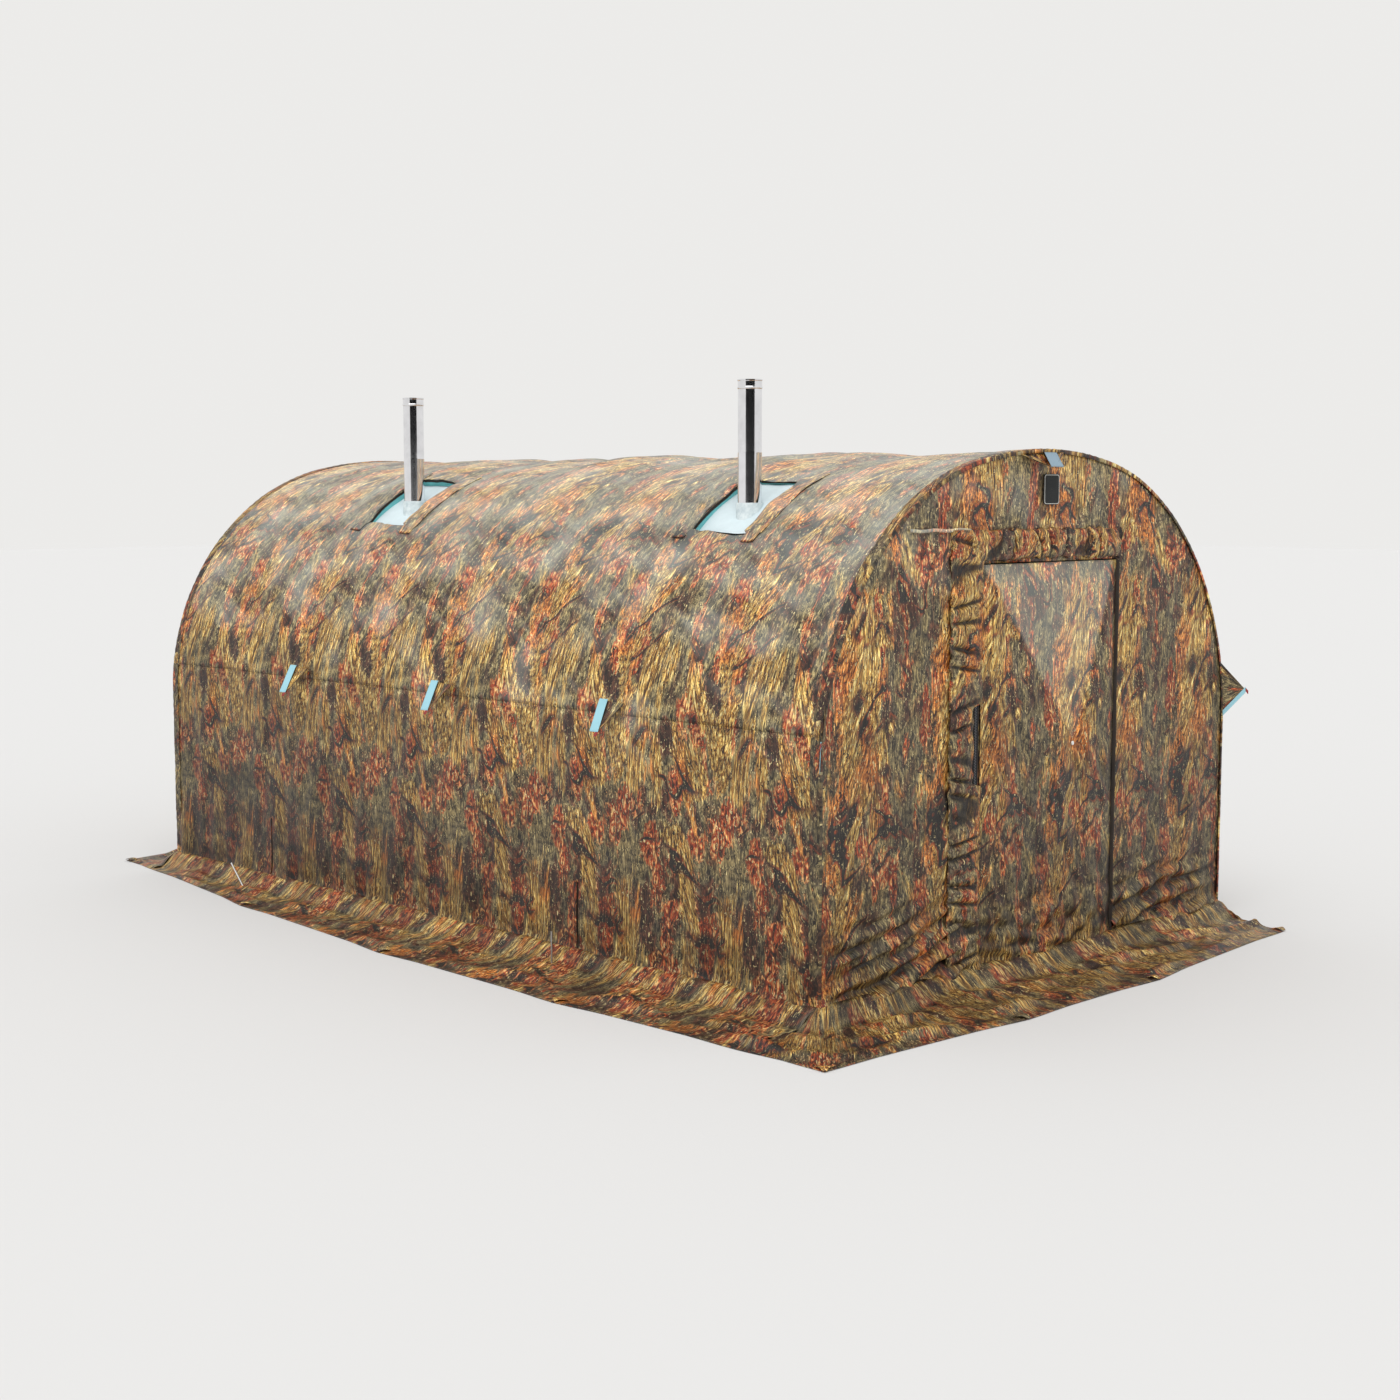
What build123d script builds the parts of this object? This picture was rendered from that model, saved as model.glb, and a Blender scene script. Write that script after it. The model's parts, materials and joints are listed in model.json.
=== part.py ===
"""Tunnel-shaped camouflage ground blind with a folding five-arch frame.

Millimetres, +Z up. X runs across the blind, Y along it, with the door end at -Y.
The origin is on the ground, at the middle of the outline.
"""
from build123d import *
import os
from math import asin, atan2, cos, degrees, radians, sin, sqrt

os.makedirs("parts", exist_ok=True)

# ---------------------------------------------------------------- driving sizes
HALF_WIDTH = 1400        # outside of the cover
HEIGHT = 2160            # outside of the cover, at the crown
HALF_LENGTH = 2300       # middle to the outside of an end wall
HAUNCH_R = 1200          # side arcs of the three-centred section
CROWN_R = 2100           # top arc of the section
HAUNCH_X = HALF_WIDTH - HAUNCH_R
CROWN_Z = HEIGHT - CROWN_R
HAUNCH_Z = CROWN_Z + sqrt((CROWN_R - HAUNCH_R) ** 2 - HAUNCH_X ** 2)
HAUNCH_SWEEP = degrees(atan2(HAUNCH_Z - CROWN_Z, HAUNCH_X))
EAVE_Z = 1100            # seam between the walls and the roof

COVER_T = 3              # outer cloth with its coating
LINING_T = 2
LINING_INSET = 20
JACK_INSET = 34          # fireproof panel below the outer cloth
END_GAP = 1              # roof edge to end wall

ARCH_Y = [-2270, -1135, 0, 1135, 2270]
BAY = 1135
POLE_INSET = 50          # centre of the poles below the outer cloth
POLE_R = 9.5
POLE_BORE_R = 8
POLE_X = HALF_WIDTH - POLE_INSET

HUB_Z = 1000
HUB_HALF = 60
HUB_R = 17
POLE_STOP = 12           # pole ends stop this far from the middle of the hub
FOOT_R = 20
FOOT_H = 30
SOCKET_R = POLE_R + 0.1  # bores that take a pole end

PIVOT_E = 55             # hinge pin to the plane of its arch
STRUT_L = (BAY - 2 * PIVOT_E) / 2
KNUCKLE_R = 11
KNUCKLE_T = 8            # tongue
FORK_GAP = 0.4
FORK_T = 5
BLOCK_START = 42         # a strut is full height only from here
BLOCK_END = 62
PIN_R = 4
PIN_CLEARANCE = 0.06

DOOR_X = (-440, 500)
DOOR_Z = (60, 1700)
DOOR_GAP = 4
TOGGLE_AT = (200, 930)
TOGGLE_R = 9
TOGGLE_T = 6
SIDE_FLAP_X = (-680, -500)
SIDE_FLAP_LOW = 100
TOP_FLAP_END = 530
TOP_FLAP_Z = (1706, 1840)
FLAP_T = 22              # depth of the gathers
ZIP_X = -471
ZIP_WIDTH = 46
ZIP_T = 2
ZIP_Z = (80, 1695)
SLIDER_Z = 800
SLIDER_SIZE = (12, 18)
SLIDER_T = 4
PULL_SIZE = (7, 34)
PULL_DROP = 16           # slider to the middle of its pull
PATCH_AT = (6, 2000)
PATCH_SIZE = (105, 125)
PATCH_T = 2

WINDOW_X = (-1010, -650)
WINDOW_LENGTH = 300
PANEL_LAP = 30
WINDOW_Y = {"front": -1375, "rear": 935}
PIPE_X = -850
PIPE_Y = {"front": -1410, "rear": 895}
PIPE_Z = (1450, 2450)
PIPE_R = 50
PIPE_BORE_R = 49
BAND_R = 53
BAND_H = 36
COLLAR_R = 56

FLAP_CLOTH_T = 2.5       # guy-out flaps and crown hood
HOOD_CORNERS = ((130, 2135), (-200, 2125))
HOOD_TIP = (-100, 2075)
HOOD_REACH = 120
GUY_FLAP_Z = 1131        # its sewn edge
GUY_FLAP_TIP_Z = 1020
GUY_FLAP_LENGTH = 100    # along the wall
GUY_FLAP_REACH = 100     # away from the wall
CORNER_FLAP_Z = (965, 1205)
CORNER_FLAP_TIP = (75, 1075)

SKIRT_T = 3
STAKE_R = 4
STAKE_LENGTH = 155
STAKE_GAP = 0.5          # above the skirt
STAKE_FRONT_AT = (-1500, -890)
STAKE_REAR_AT = (-1500, 1500)
STAKE_REAR_LEAN = 45


def save(part, name):
    part.label = name
    export_step(part, f"parts/{name}.step")


# ---------------------------------------------------------------- section of the blind
def section_curve(inset, start=0.0):
    """The arch as three arcs, moved inwards by inset, inside a BuildLine."""
    haunch = HAUNCH_R - inset
    sweep_angle = HAUNCH_SWEEP - start
    CenterArc((HAUNCH_X, HAUNCH_Z), haunch, start, sweep_angle)
    CenterArc((0, CROWN_Z), CROWN_R - inset, HAUNCH_SWEEP, 180 - 2 * HAUNCH_SWEEP)
    CenterArc((-HAUNCH_X, HAUNCH_Z), haunch, 180 - HAUNCH_SWEEP, sweep_angle)


def section_face(inset):
    """The whole section down to the ground, as a sketch."""
    half = HALF_WIDTH - inset
    with BuildSketch() as section:
        with BuildLine():
            section_curve(inset)
            Polyline((-half, HAUNCH_Z), (-half, 0), (half, 0), (half, HAUNCH_Z))
        make_face()
    return section.sketch


def section_shell(inset, thickness, x_range, z_range):
    """A sheet that follows the section, kept inside two ranges, as a sketch."""
    with BuildSketch() as shell:
        add(section_face(inset))
        add(section_face(inset + thickness), mode=Mode.SUBTRACT)
        with Locations((sum(x_range) / 2, sum(z_range) / 2)):
            Rectangle(x_range[1] - x_range[0], z_range[1] - z_range[0], mode=Mode.INTERSECT)
    return shell.sketch


def roof_height(x, inset=0):
    """Height of the section at x, inside the haunch arc."""
    return HAUNCH_Z + sqrt((HAUNCH_R - inset) ** 2 - (abs(x) - HAUNCH_X) ** 2)


def box_between(low, high, mode=Mode.ADD):
    with Locations(tuple((a + b) / 2 for a, b in zip(low, high))):
        Box(*[b - a for a, b in zip(low, high)], mode=mode)


def cut_windows():
    """The two stove-pipe windows, cut straight down through the left slope."""
    for window_y in WINDOW_Y.values():
        box_between(
            (WINDOW_X[0], window_y - WINDOW_LENGTH / 2, EAVE_Z),
            (WINDOW_X[1], window_y + WINDOW_LENGTH / 2, HEIGHT),
            mode=Mode.SUBTRACT,
        )


ALONG = HALF_LENGTH - COVER_T - END_GAP
ALL_X = (-2 * HALF_WIDTH, 2 * HALF_WIDTH)

# ---------------------------------------------------------------- outer cover
with BuildPart() as roof:
    with BuildSketch(Plane.XZ):
        add(section_shell(0, COVER_T, ALL_X, (EAVE_Z, HEIGHT + 1)))
    extrude(amount=ALONG, both=True)
    cut_windows()
save(roof.part, "roof")

for side, x_range in (("left", (-HALF_WIDTH - 1, 0)), ("right", (0, HALF_WIDTH + 1))):
    with BuildPart() as wall:
        with BuildSketch(Plane.XZ):
            add(section_shell(0, COVER_T, x_range, (0, EAVE_Z)))
        extrude(amount=ALONG, both=True)
    save(wall.part, f"wall_{side}")

with BuildPart() as front_wall:
    with BuildSketch(Plane.XZ.offset(HALF_LENGTH)):
        add(section_face(0))
    extrude(amount=-COVER_T)
    box_between(
        (DOOR_X[0] - DOOR_GAP, -HALF_LENGTH - 1, DOOR_Z[0] - DOOR_GAP),
        (DOOR_X[1] + 2 * DOOR_GAP, -HALF_LENGTH + 2 * COVER_T, DOOR_Z[1] + DOOR_GAP),
        mode=Mode.SUBTRACT,
    )
save(front_wall.part, "front_wall")

with BuildPart() as rear_wall:
    with BuildSketch(Plane.XZ.offset(-HALF_LENGTH)):
        add(section_face(0))
    extrude(amount=COVER_T)
save(rear_wall.part, "rear_wall")

with BuildPart() as lining:
    with BuildSketch(Plane.XZ):
        add(section_shell(LINING_INSET, LINING_T, ALL_X, (DOOR_Z[0], HEIGHT)))
    extrude(amount=ALONG - 2 * LINING_T, both=True)
    cut_windows()
save(lining.part, "lining")

# ---------------------------------------------------------------- ground skirts
# outlines on the ground, each following the peg points on its outer edge
SKIRTS = {
    "left": [
        (-1400, -2299), (-1400, 2299), (-1565, 2299), (-1740, 1140),
        (-1850, -140), (-1870, -1330), (-1835, -2299),
    ],
    "right": [
        (1400, -2299), (1400, 2299), (1700, 2299), (1740, 1140),
        (1850, -140), (1870, -1330), (1860, -1600), (1420, -2299),
    ],
    "front": [
        (-1400, -2301), (-1835, -2301), (-1820, -2710), (-750, -2790),
        (140, -2795), (1330, -2690), (1420, -2301),
    ],
    "rear": [
        (-1400, 2301), (-1565, 2301), (-1530, 2620), (-750, 2780),
        (140, 2795), (1330, 2790), (1760, 2700), (1700, 2301),
    ],
}
for side, outline in SKIRTS.items():
    with BuildPart() as skirt:
        with BuildSketch():
            with BuildLine():
                Polyline(*outline, close=True)
            make_face()
        extrude(amount=SKIRT_T)
    save(skirt.part, f"skirt_{side}")

# ---------------------------------------------------------------- arches
HALF_FORK = KNUCKLE_T / 2 + FORK_GAP + FORK_T


def knuckle_plate(x, pin_y, block_y, low, thickness):
    """A flat plate from a pin to the solid block, rounded about the pin."""
    middle = HUB_Z + low + thickness / 2
    with Locations((x, (pin_y + block_y) / 2, middle)):
        Box(2 * KNUCKLE_R, abs(block_y - pin_y), thickness)
    with Locations((x, pin_y, middle)):
        Cylinder(KNUCKLE_R, thickness)


for number, arch_y in enumerate(ARCH_Y, start=1):
    arch_plane = Plane.XZ.offset(-arch_y)
    hub_angle = degrees(asin((HUB_Z + POLE_STOP - HAUNCH_Z) / (HAUNCH_R - POLE_INSET)))
    with BuildPart() as poles:
        with BuildLine(arch_plane) as bow_line:
            section_curve(POLE_INSET, start=hub_angle)
        with BuildSketch(bow_line.line ^ 0):
            Circle(POLE_R)
            Circle(POLE_BORE_R, mode=Mode.SUBTRACT)
        sweep()
        with BuildSketch(Plane.XY.offset(FOOT_H / 3)):
            with Locations((-POLE_X, arch_y), (POLE_X, arch_y)):
                Circle(POLE_R)
                Circle(POLE_BORE_R, mode=Mode.SUBTRACT)
        extrude(amount=HUB_Z - POLE_STOP - FOOT_H / 3)
    save(poles.part, f"arch_{number}_poles")

    lug_signs = [s for s in (-1, 1) if abs(arch_y + s * BAY) <= ARCH_Y[-1]]
    with BuildPart() as fittings:
        for x in (-POLE_X, POLE_X):
            with BuildSketch(Plane.XY.offset(HUB_Z - HUB_HALF)):
                with Locations((x, arch_y)):
                    Circle(HUB_R)
            extrude(amount=2 * HUB_HALF)
            for lug in lug_signs:
                lug_y = arch_y + lug * PIVOT_E
                for low in (KNUCKLE_T / 2 + FORK_GAP, -HALF_FORK):
                    knuckle_plate(x, lug_y, arch_y, low, FORK_T)
                with Locations((x, lug_y, HUB_Z)):
                    Cylinder(PIN_R, 2 * HALF_FORK)
            with BuildSketch(Plane.XY):
                with Locations((x, arch_y)):
                    Circle(FOOT_R)
            extrude(amount=FOOT_H)
            with Locations((x, arch_y, FOOT_H / 3)):
                Cylinder(SOCKET_R, FOOT_H, align=(Align.CENTER, Align.CENTER, Align.MIN), mode=Mode.SUBTRACT)
            with Locations((x, arch_y, HUB_Z - HUB_HALF - 1)):
                Cylinder(
                    SOCKET_R,
                    HUB_HALF + 1 - POLE_STOP,
                    align=(Align.CENTER, Align.CENTER, Align.MIN),
                    mode=Mode.SUBTRACT,
                )
        with BuildLine(arch_plane) as socket_line:
            section_curve(POLE_INSET, start=hub_angle)
        with BuildSketch(socket_line.line ^ 0):
            Circle(SOCKET_R)
        sweep(mode=Mode.SUBTRACT)
    save(fittings.part, f"arch_{number}_fittings")


# ---------------------------------------------------------------- folding struts
def strut_half(x, pin_y, direction, fork_at_end):
    """Half of a side strut, from pin to pin along Y.

    It has a tongue at its start. Its other end is a fork with the knee pin, or a tongue.
    """
    end_y = pin_y + direction * STRUT_L
    with BuildPart() as strut:
        for this_pin, inward in ((pin_y, direction), (end_y, -direction)):
            block_ends = sorted((this_pin + inward * BLOCK_START, this_pin + inward * BLOCK_END))
            box_between(
                (x - KNUCKLE_R, block_ends[0], HUB_Z - HALF_FORK),
                (x + KNUCKLE_R, block_ends[1], HUB_Z + HALF_FORK),
            )
            block_y = this_pin + inward * BLOCK_START
            if fork_at_end and this_pin == end_y:
                for low in (KNUCKLE_T / 2 + FORK_GAP, -HALF_FORK):
                    knuckle_plate(x, this_pin, block_y, low, FORK_T)
                with Locations((x, this_pin, HUB_Z)):
                    Cylinder(PIN_R, 2 * HALF_FORK)
            else:
                knuckle_plate(x, this_pin, block_y, -KNUCKLE_T / 2, KNUCKLE_T)
                with Locations((x, this_pin, HUB_Z)):
                    Cylinder(PIN_R + PIN_CLEARANCE, 2 * HALF_FORK, mode=Mode.SUBTRACT)
        tube_length = STRUT_L - 2 * BLOCK_END + 2
        with Locations((x, (pin_y + end_y) / 2, HUB_Z)):
            Cylinder(POLE_R, tube_length, rotation=(90, 0, 0))
    return strut.part


# bays 1 and 2 fold towards the front of the middle arch, bays 3 and 4 behind it
BAY_START = {1: ARCH_Y[1], 2: ARCH_Y[2], 3: ARCH_Y[2], 4: ARCH_Y[3]}
for side, x in (("left", -POLE_X), ("right", POLE_X)):
    for bay, arch_y in BAY_START.items():
        direction = -1 if bay < 3 else 1
        first_pin = arch_y + direction * PIVOT_E
        knee = first_pin + direction * STRUT_L
        save(strut_half(x, first_pin, direction, True), f"strut_{side}_{bay}_near")
        save(strut_half(x, knee, direction, False), f"strut_{side}_{bay}_far")

# ---------------------------------------------------------------- stove-pipe windows
for end, window_y in WINDOW_Y.items():
    pipe_y = PIPE_Y[end]
    panel_half = WINDOW_LENGTH / 2 + PANEL_LAP / 2
    with BuildPart() as panel:
        with BuildSketch(Plane.XZ.offset(-window_y)):
            panel_x = (WINDOW_X[0] - PANEL_LAP, WINDOW_X[1] + PANEL_LAP)
            add(section_shell(JACK_INSET, COVER_T, panel_x, (EAVE_Z, HEIGHT)))
        extrude(amount=panel_half, both=True)
        with Locations((PIPE_X, pipe_y, HEIGHT)):
            Cylinder(COLLAR_R + 0.5, HEIGHT, mode=Mode.SUBTRACT)
    save(panel.part, f"jack_panel_{end}")

    collar_low = roof_height(PIPE_X - COLLAR_R, JACK_INSET) - 8
    collar_high = roof_height(PIPE_X + COLLAR_R, JACK_INSET) + 4
    with BuildPart() as collar:
        with BuildSketch(Plane.XY.offset(collar_low)):
            with Locations((PIPE_X, pipe_y)):
                Circle(COLLAR_R)
                Circle(PIPE_R + 0.4, mode=Mode.SUBTRACT)
        extrude(amount=collar_high - collar_low)
    save(collar.part, f"flue_collar_{end}")

    with BuildPart() as pipe:
        with BuildSketch(Plane.XY.offset(PIPE_Z[0])):
            with Locations((PIPE_X, pipe_y)):
                Circle(PIPE_R)
        extrude(amount=PIPE_Z[1] - PIPE_Z[0])
        with BuildSketch(Plane.XY.offset(PIPE_Z[1] - BAND_H)):
            with Locations((PIPE_X, pipe_y)):
                Circle(BAND_R)
        extrude(amount=BAND_H)
        with Locations((PIPE_X, pipe_y, sum(PIPE_Z) / 2)):
            Cylinder(PIPE_BORE_R, PIPE_Z[1] - PIPE_Z[0] + 2, mode=Mode.SUBTRACT)
    save(pipe.part, f"flue_pipe_{end}")

# ---------------------------------------------------------------- door end
FRONT = -HALF_LENGTH

with BuildPart() as door:
    box_between((DOOR_X[0], FRONT, DOOR_Z[0]), (DOOR_X[1], FRONT + COVER_T, DOOR_Z[1]))
save(door.part, "door")

with BuildPart() as storm_flap:
    flap_face = FRONT - FLAP_T
    box_between((SIDE_FLAP_X[0], flap_face, TOP_FLAP_Z[0]), (TOP_FLAP_END, FRONT, TOP_FLAP_Z[1]))
    box_between((SIDE_FLAP_X[0], flap_face, SIDE_FLAP_LOW), (SIDE_FLAP_X[1], FRONT, TOP_FLAP_Z[0]))
save(storm_flap.part, "storm_flap")

with BuildPart() as zip_tape:
    half = ZIP_WIDTH / 2
    box_between((ZIP_X - half, FRONT - ZIP_T, ZIP_Z[0]), (ZIP_X + half, FRONT, ZIP_Z[1]))
save(zip_tape.part, "zip_tape")

with BuildPart() as zip_slider:
    slider_y = FRONT - ZIP_T - FORK_GAP
    with BuildSketch(Plane.XZ.offset(-slider_y)):
        with Locations((ZIP_X, SLIDER_Z)):
            RectangleRounded(*SLIDER_SIZE, SLIDER_SIZE[0] / 3)
    extrude(amount=SLIDER_T)
    with BuildSketch(Plane.XZ.offset(-slider_y + SLIDER_T)):
        with Locations((ZIP_X, SLIDER_Z - PULL_DROP)):
            RectangleRounded(*PULL_SIZE, 3)
    extrude(amount=SLIDER_T / 2)
save(zip_slider.part, "zip_slider")

with BuildPart() as door_toggle:
    with BuildSketch(Plane.XZ.offset(HALF_LENGTH)):
        with Locations(TOGGLE_AT):
            Circle(TOGGLE_R)
    extrude(amount=TOGGLE_T)
    fillet(door_toggle.faces().sort_by(Axis.Y)[0].edges(), 2)
save(door_toggle.part, "door_toggle")

with BuildPart() as blank_patch:
    with BuildSketch(Plane.XZ.offset(HALF_LENGTH)):
        with Locations(PATCH_AT):
            RectangleRounded(*PATCH_SIZE, 10)
    extrude(amount=PATCH_T)
save(blank_patch.part, "blank_patch")


# ---------------------------------------------------------------- guy-out flaps
def flap(corner_a, corner_b, tip):
    """A triangular cloth flap, thickened away from its own plane."""
    a, b, c = Vector(*corner_a), Vector(*corner_b), Vector(*tip)
    plane = Plane(origin=a, x_dir=b - a, z_dir=(b - a).cross(c - a))
    with BuildPart() as cloth:
        with BuildSketch(plane):
            with BuildLine():
                Polyline(*[plane.to_local_coords(p) for p in (a, b, c)], close=True)
            make_face()
        extrude(amount=FLAP_CLOTH_T)
    return cloth.part


with BuildPart() as crown_hood:
    hood_edge = [(x, FRONT - 2, z) for x, z in HOOD_CORNERS]
    add(flap(*hood_edge, (HOOD_TIP[0], FRONT - HOOD_REACH, HOOD_TIP[1])))
save(crown_hood.part, "crown_hood")

# the two corners of the door end, each flap standing out diagonally
with BuildPart() as corner_flaps:
    out, tip_z = CORNER_FLAP_TIP
    for sign in (-1, 1):
        sewn_edge = [
            (sign * (HAUNCH_X + sqrt(HAUNCH_R ** 2 - (z - HAUNCH_Z) ** 2)), FRONT - FLAP_CLOTH_T, z)
            for z in CORNER_FLAP_Z
        ]
        add(flap(*sewn_edge, (sign * (HALF_WIDTH + out), FRONT - FLAP_CLOTH_T - out, tip_z)))
save(corner_flaps.part, "guy_flaps_1")

# the three middle arches, hanging from the eave
for number in (2, 3, 4):
    corner_y = ARCH_Y[number - 1] - 3
    with BuildPart() as flaps:
        for sign in (-1, 1):
            x = sign * (HALF_WIDTH + 0.5)
            tip = (x + sign * GUY_FLAP_REACH, corner_y - 0.45 * GUY_FLAP_LENGTH, GUY_FLAP_TIP_Z)
            sewn_edge = ((x, corner_y, GUY_FLAP_Z + 4), (x, corner_y - GUY_FLAP_LENGTH, GUY_FLAP_Z))
            add(flap(*sewn_edge, tip))
    save(flaps.part, f"guy_flaps_{number}")

# ---------------------------------------------------------------- stakes
with BuildPart() as stake_front:
    with BuildSketch(Plane.XY.offset(SKIRT_T + STAKE_GAP)):
        with Locations(STAKE_FRONT_AT):
            Circle(STAKE_R)
    extrude(amount=STAKE_LENGTH)
save(stake_front.part, "stake_front")

lean_low = Vector(*STAKE_REAR_AT, SKIRT_T + STAKE_GAP + STAKE_R)
lean_axis = Vector(0, sin(radians(STAKE_REAR_LEAN)), cos(radians(STAKE_REAR_LEAN)))
with BuildPart() as stake_rear:
    with BuildSketch(Plane(origin=lean_low, x_dir=(1, 0, 0), z_dir=lean_axis)):
        Circle(STAKE_R)
    extrude(amount=STAKE_LENGTH)
save(stake_rear.part, "stake_rear")
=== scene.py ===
"""Looks of the camouflage tunnel blind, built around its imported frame. Metres, +Z up, door end at -Y."""
import json
from math import acos, asin, atan2, cos, pi, radians, sin, sqrt

import bmesh
import bpy
import numpy as np
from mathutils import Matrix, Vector


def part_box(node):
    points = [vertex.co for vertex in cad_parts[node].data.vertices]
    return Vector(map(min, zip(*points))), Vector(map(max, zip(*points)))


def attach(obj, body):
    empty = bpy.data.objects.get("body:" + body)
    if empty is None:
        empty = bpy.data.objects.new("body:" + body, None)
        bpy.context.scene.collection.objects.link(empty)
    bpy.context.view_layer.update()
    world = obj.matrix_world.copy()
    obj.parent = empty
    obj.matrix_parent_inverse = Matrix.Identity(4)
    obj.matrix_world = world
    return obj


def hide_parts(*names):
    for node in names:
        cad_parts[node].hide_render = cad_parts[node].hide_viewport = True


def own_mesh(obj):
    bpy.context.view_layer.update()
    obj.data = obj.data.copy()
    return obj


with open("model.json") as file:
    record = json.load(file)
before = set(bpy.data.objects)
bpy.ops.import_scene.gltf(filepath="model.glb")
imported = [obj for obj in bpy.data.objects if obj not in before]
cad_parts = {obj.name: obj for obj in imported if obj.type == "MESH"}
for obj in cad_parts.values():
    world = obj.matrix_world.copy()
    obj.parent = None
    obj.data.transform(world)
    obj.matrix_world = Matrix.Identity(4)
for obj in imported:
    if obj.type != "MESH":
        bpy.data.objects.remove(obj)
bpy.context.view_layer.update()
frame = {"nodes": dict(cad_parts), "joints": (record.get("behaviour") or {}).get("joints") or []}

# ---- sizes taken from the frame
HALF_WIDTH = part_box("front_wall")[1].x
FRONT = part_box("front_wall")[0].y
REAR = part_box("rear_wall")[1].y
EAVE_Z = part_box("roof")[0].z
HEIGHT = 2.16             # of the crown; the section is a crown arc, two haunch arcs and two straight legs
HAUNCH_R = 1.2
CROWN_R = 2.1
HAUNCH_X = HALF_WIDTH - HAUNCH_R
CROWN_Z = HEIGHT - CROWN_R
HAUNCH_Z = CROWN_Z + sqrt((CROWN_R - HAUNCH_R) ** 2 - HAUNCH_X**2)
SWEEP = atan2(HAUNCH_Z - CROWN_Z, HAUNCH_X)
HAUNCH_ARC = HAUNCH_R * SWEEP
GIRTH = 2 * HAUNCH_Z + 2 * HAUNCH_ARC + CROWN_R * (pi - 2 * SWEEP)
EAVE_S = HAUNCH_Z + HAUNCH_R * asin((EAVE_Z - HAUNCH_Z) / HAUNCH_R)
ARCH_Y = [sum((c.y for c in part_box(f"arch_{n}_poles"))) / 2 for n in range(1, 6)]
BAY = ARCH_Y[1] - ARCH_Y[0]
ROOT = "shelter_middle"
CLOTH_T = 0.0015
FOOT_GAP = 0.012          # the walls stop this far above the ground

# how much shorter the blind is when the frame is folded
fold = next(j for j in frame["joints"] if j["name"] == "frame_fold")
knee = next(j for j in frame["joints"] if j["name"] == "fold_left_2_knee")
PIN_OUT = abs(fold["pos_m"][1])
STRUT = abs(knee["pos_m"][1]) - PIN_OUT
KEEP = 2 * (PIN_OUT + STRUT * cos(radians(fold["range_deg"][1]))) / BAY


# ---- shape of the cover
def section(s, out=0.0):
    """x and z at arc length s from the ground on the left, and the outward normal."""
    s = np.asarray(s, float)
    right = s > GIRTH / 2
    t = np.where(right, GIRTH - s, s)
    leg = t < HAUNCH_Z
    haunch = t < HAUNCH_Z + HAUNCH_ARC
    angle = np.where(
        haunch,
        np.clip((t - HAUNCH_Z) / HAUNCH_R, 0, SWEEP),
        SWEEP + (t - HAUNCH_Z - HAUNCH_ARC) / CROWN_R,
    )
    radius = np.where(haunch, HAUNCH_R, CROWN_R)
    x = np.where(haunch, -HAUNCH_X, 0.0) - radius * np.cos(angle)
    z = np.where(leg, t, np.where(haunch, HAUNCH_Z, CROWN_Z) + radius * np.sin(angle))
    side = np.where(right, -1.0, 1.0)
    nx, nz = -np.cos(angle) * side, np.sin(angle)
    return x * side + out * nx, z + out * nz, nx, nz


def haunch_s(x):
    """Arc length at a place x on the left haunch."""
    return HAUNCH_Z + HAUNCH_R * acos((-x - HAUNCH_X) / HAUNCH_R)


def ripples(seed, u, v, wavelength, stretch=(1.0, 1.0), count=10):
    """Smooth random height between about -1 and 1, from a sum of plane waves."""
    rng = np.random.default_rng(seed)
    total = np.zeros(np.broadcast(u, v).shape)
    for _ in range(count):
        angle = rng.uniform(0, 2 * pi)
        k = 2 * pi / wavelength * rng.uniform(0.6, 1.7)
        phase = rng.uniform(0, 2 * pi)
        total = total + np.sin(k * (cos(angle) * u / stretch[0] + sin(angle) * v / stretch[1]) + phase)
    return total / sqrt(count)


def creases(seed, u, v, wavelength, stretch=(1.0, 1.0)):
    """Sharp-topped folds between 0 and 1."""
    return np.maximum(0, 1 - 1.6 * np.abs(ripples(seed, u, v, wavelength, stretch)))


def smooth(value, low, high):
    t = np.clip((value - low) / (high - low), 0, 1)
    return t * t * (3 - 2 * t)


def stack(*parts):
    """Points or map places from arrays that broadcast against each other."""
    return np.stack(np.broadcast_arrays(*parts), -1)


# ---- mesh helpers
def make_piece(name, verts, faces, uvs, material, body, smooth_faces=True, weather=None):
    """A mesh with a flat cloth map in metres, riding on a body.

    One number for each vertex paints light and shade into the colour: above 0 the colour is mixed toward pale
    grey as painted light, below 0 it is darkened as painted shade; random marks ride on both.
    """
    mesh = bpy.data.meshes.new(name)
    mesh.from_pydata([tuple(v) for v in verts], [], faces)
    layer = mesh.uv_layers.new(name="cloth")
    loops = np.zeros(len(mesh.loops), np.int32)
    mesh.loops.foreach_get("vertex_index", loops)
    layer.data.foreach_set("uv", np.asarray(uvs, np.float32)[loops].ravel())
    mesh.polygons.foreach_set("use_smooth", [smooth_faces] * len(mesh.polygons))
    if weather is not None:
        mesh.attributes.new("weather", "FLOAT", "POINT").data.foreach_set("value", np.ravel(weather))
    mesh.materials.append(material)
    piece = bpy.data.objects.new(name, mesh)
    bpy.context.scene.collection.objects.link(piece)
    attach(piece, body)
    return piece


def grid_piece(name, points, uv, material, body, closed=False, weather=None):
    """A grid of quads from an array of rows and columns of points."""
    rows, columns = points.shape[:2]
    faces = []
    for i in range(rows - 1):
        for j in range(columns - 1 + closed):
            k = (j + 1) % columns
            faces.append((i * columns + j, i * columns + k, (i + 1) * columns + k, (i + 1) * columns + j))
    return make_piece(name, points.reshape(-1, 3), faces, uv.reshape(-1, 2), material, body, True, weather)


def front_strip(name, rows, material, **settings):
    """Narrow trim on the door end, mapped flat."""
    points = np.array(rows)
    return grid_piece(name, points, points[..., [0, 2]], material, "arch_1", **settings)


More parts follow.
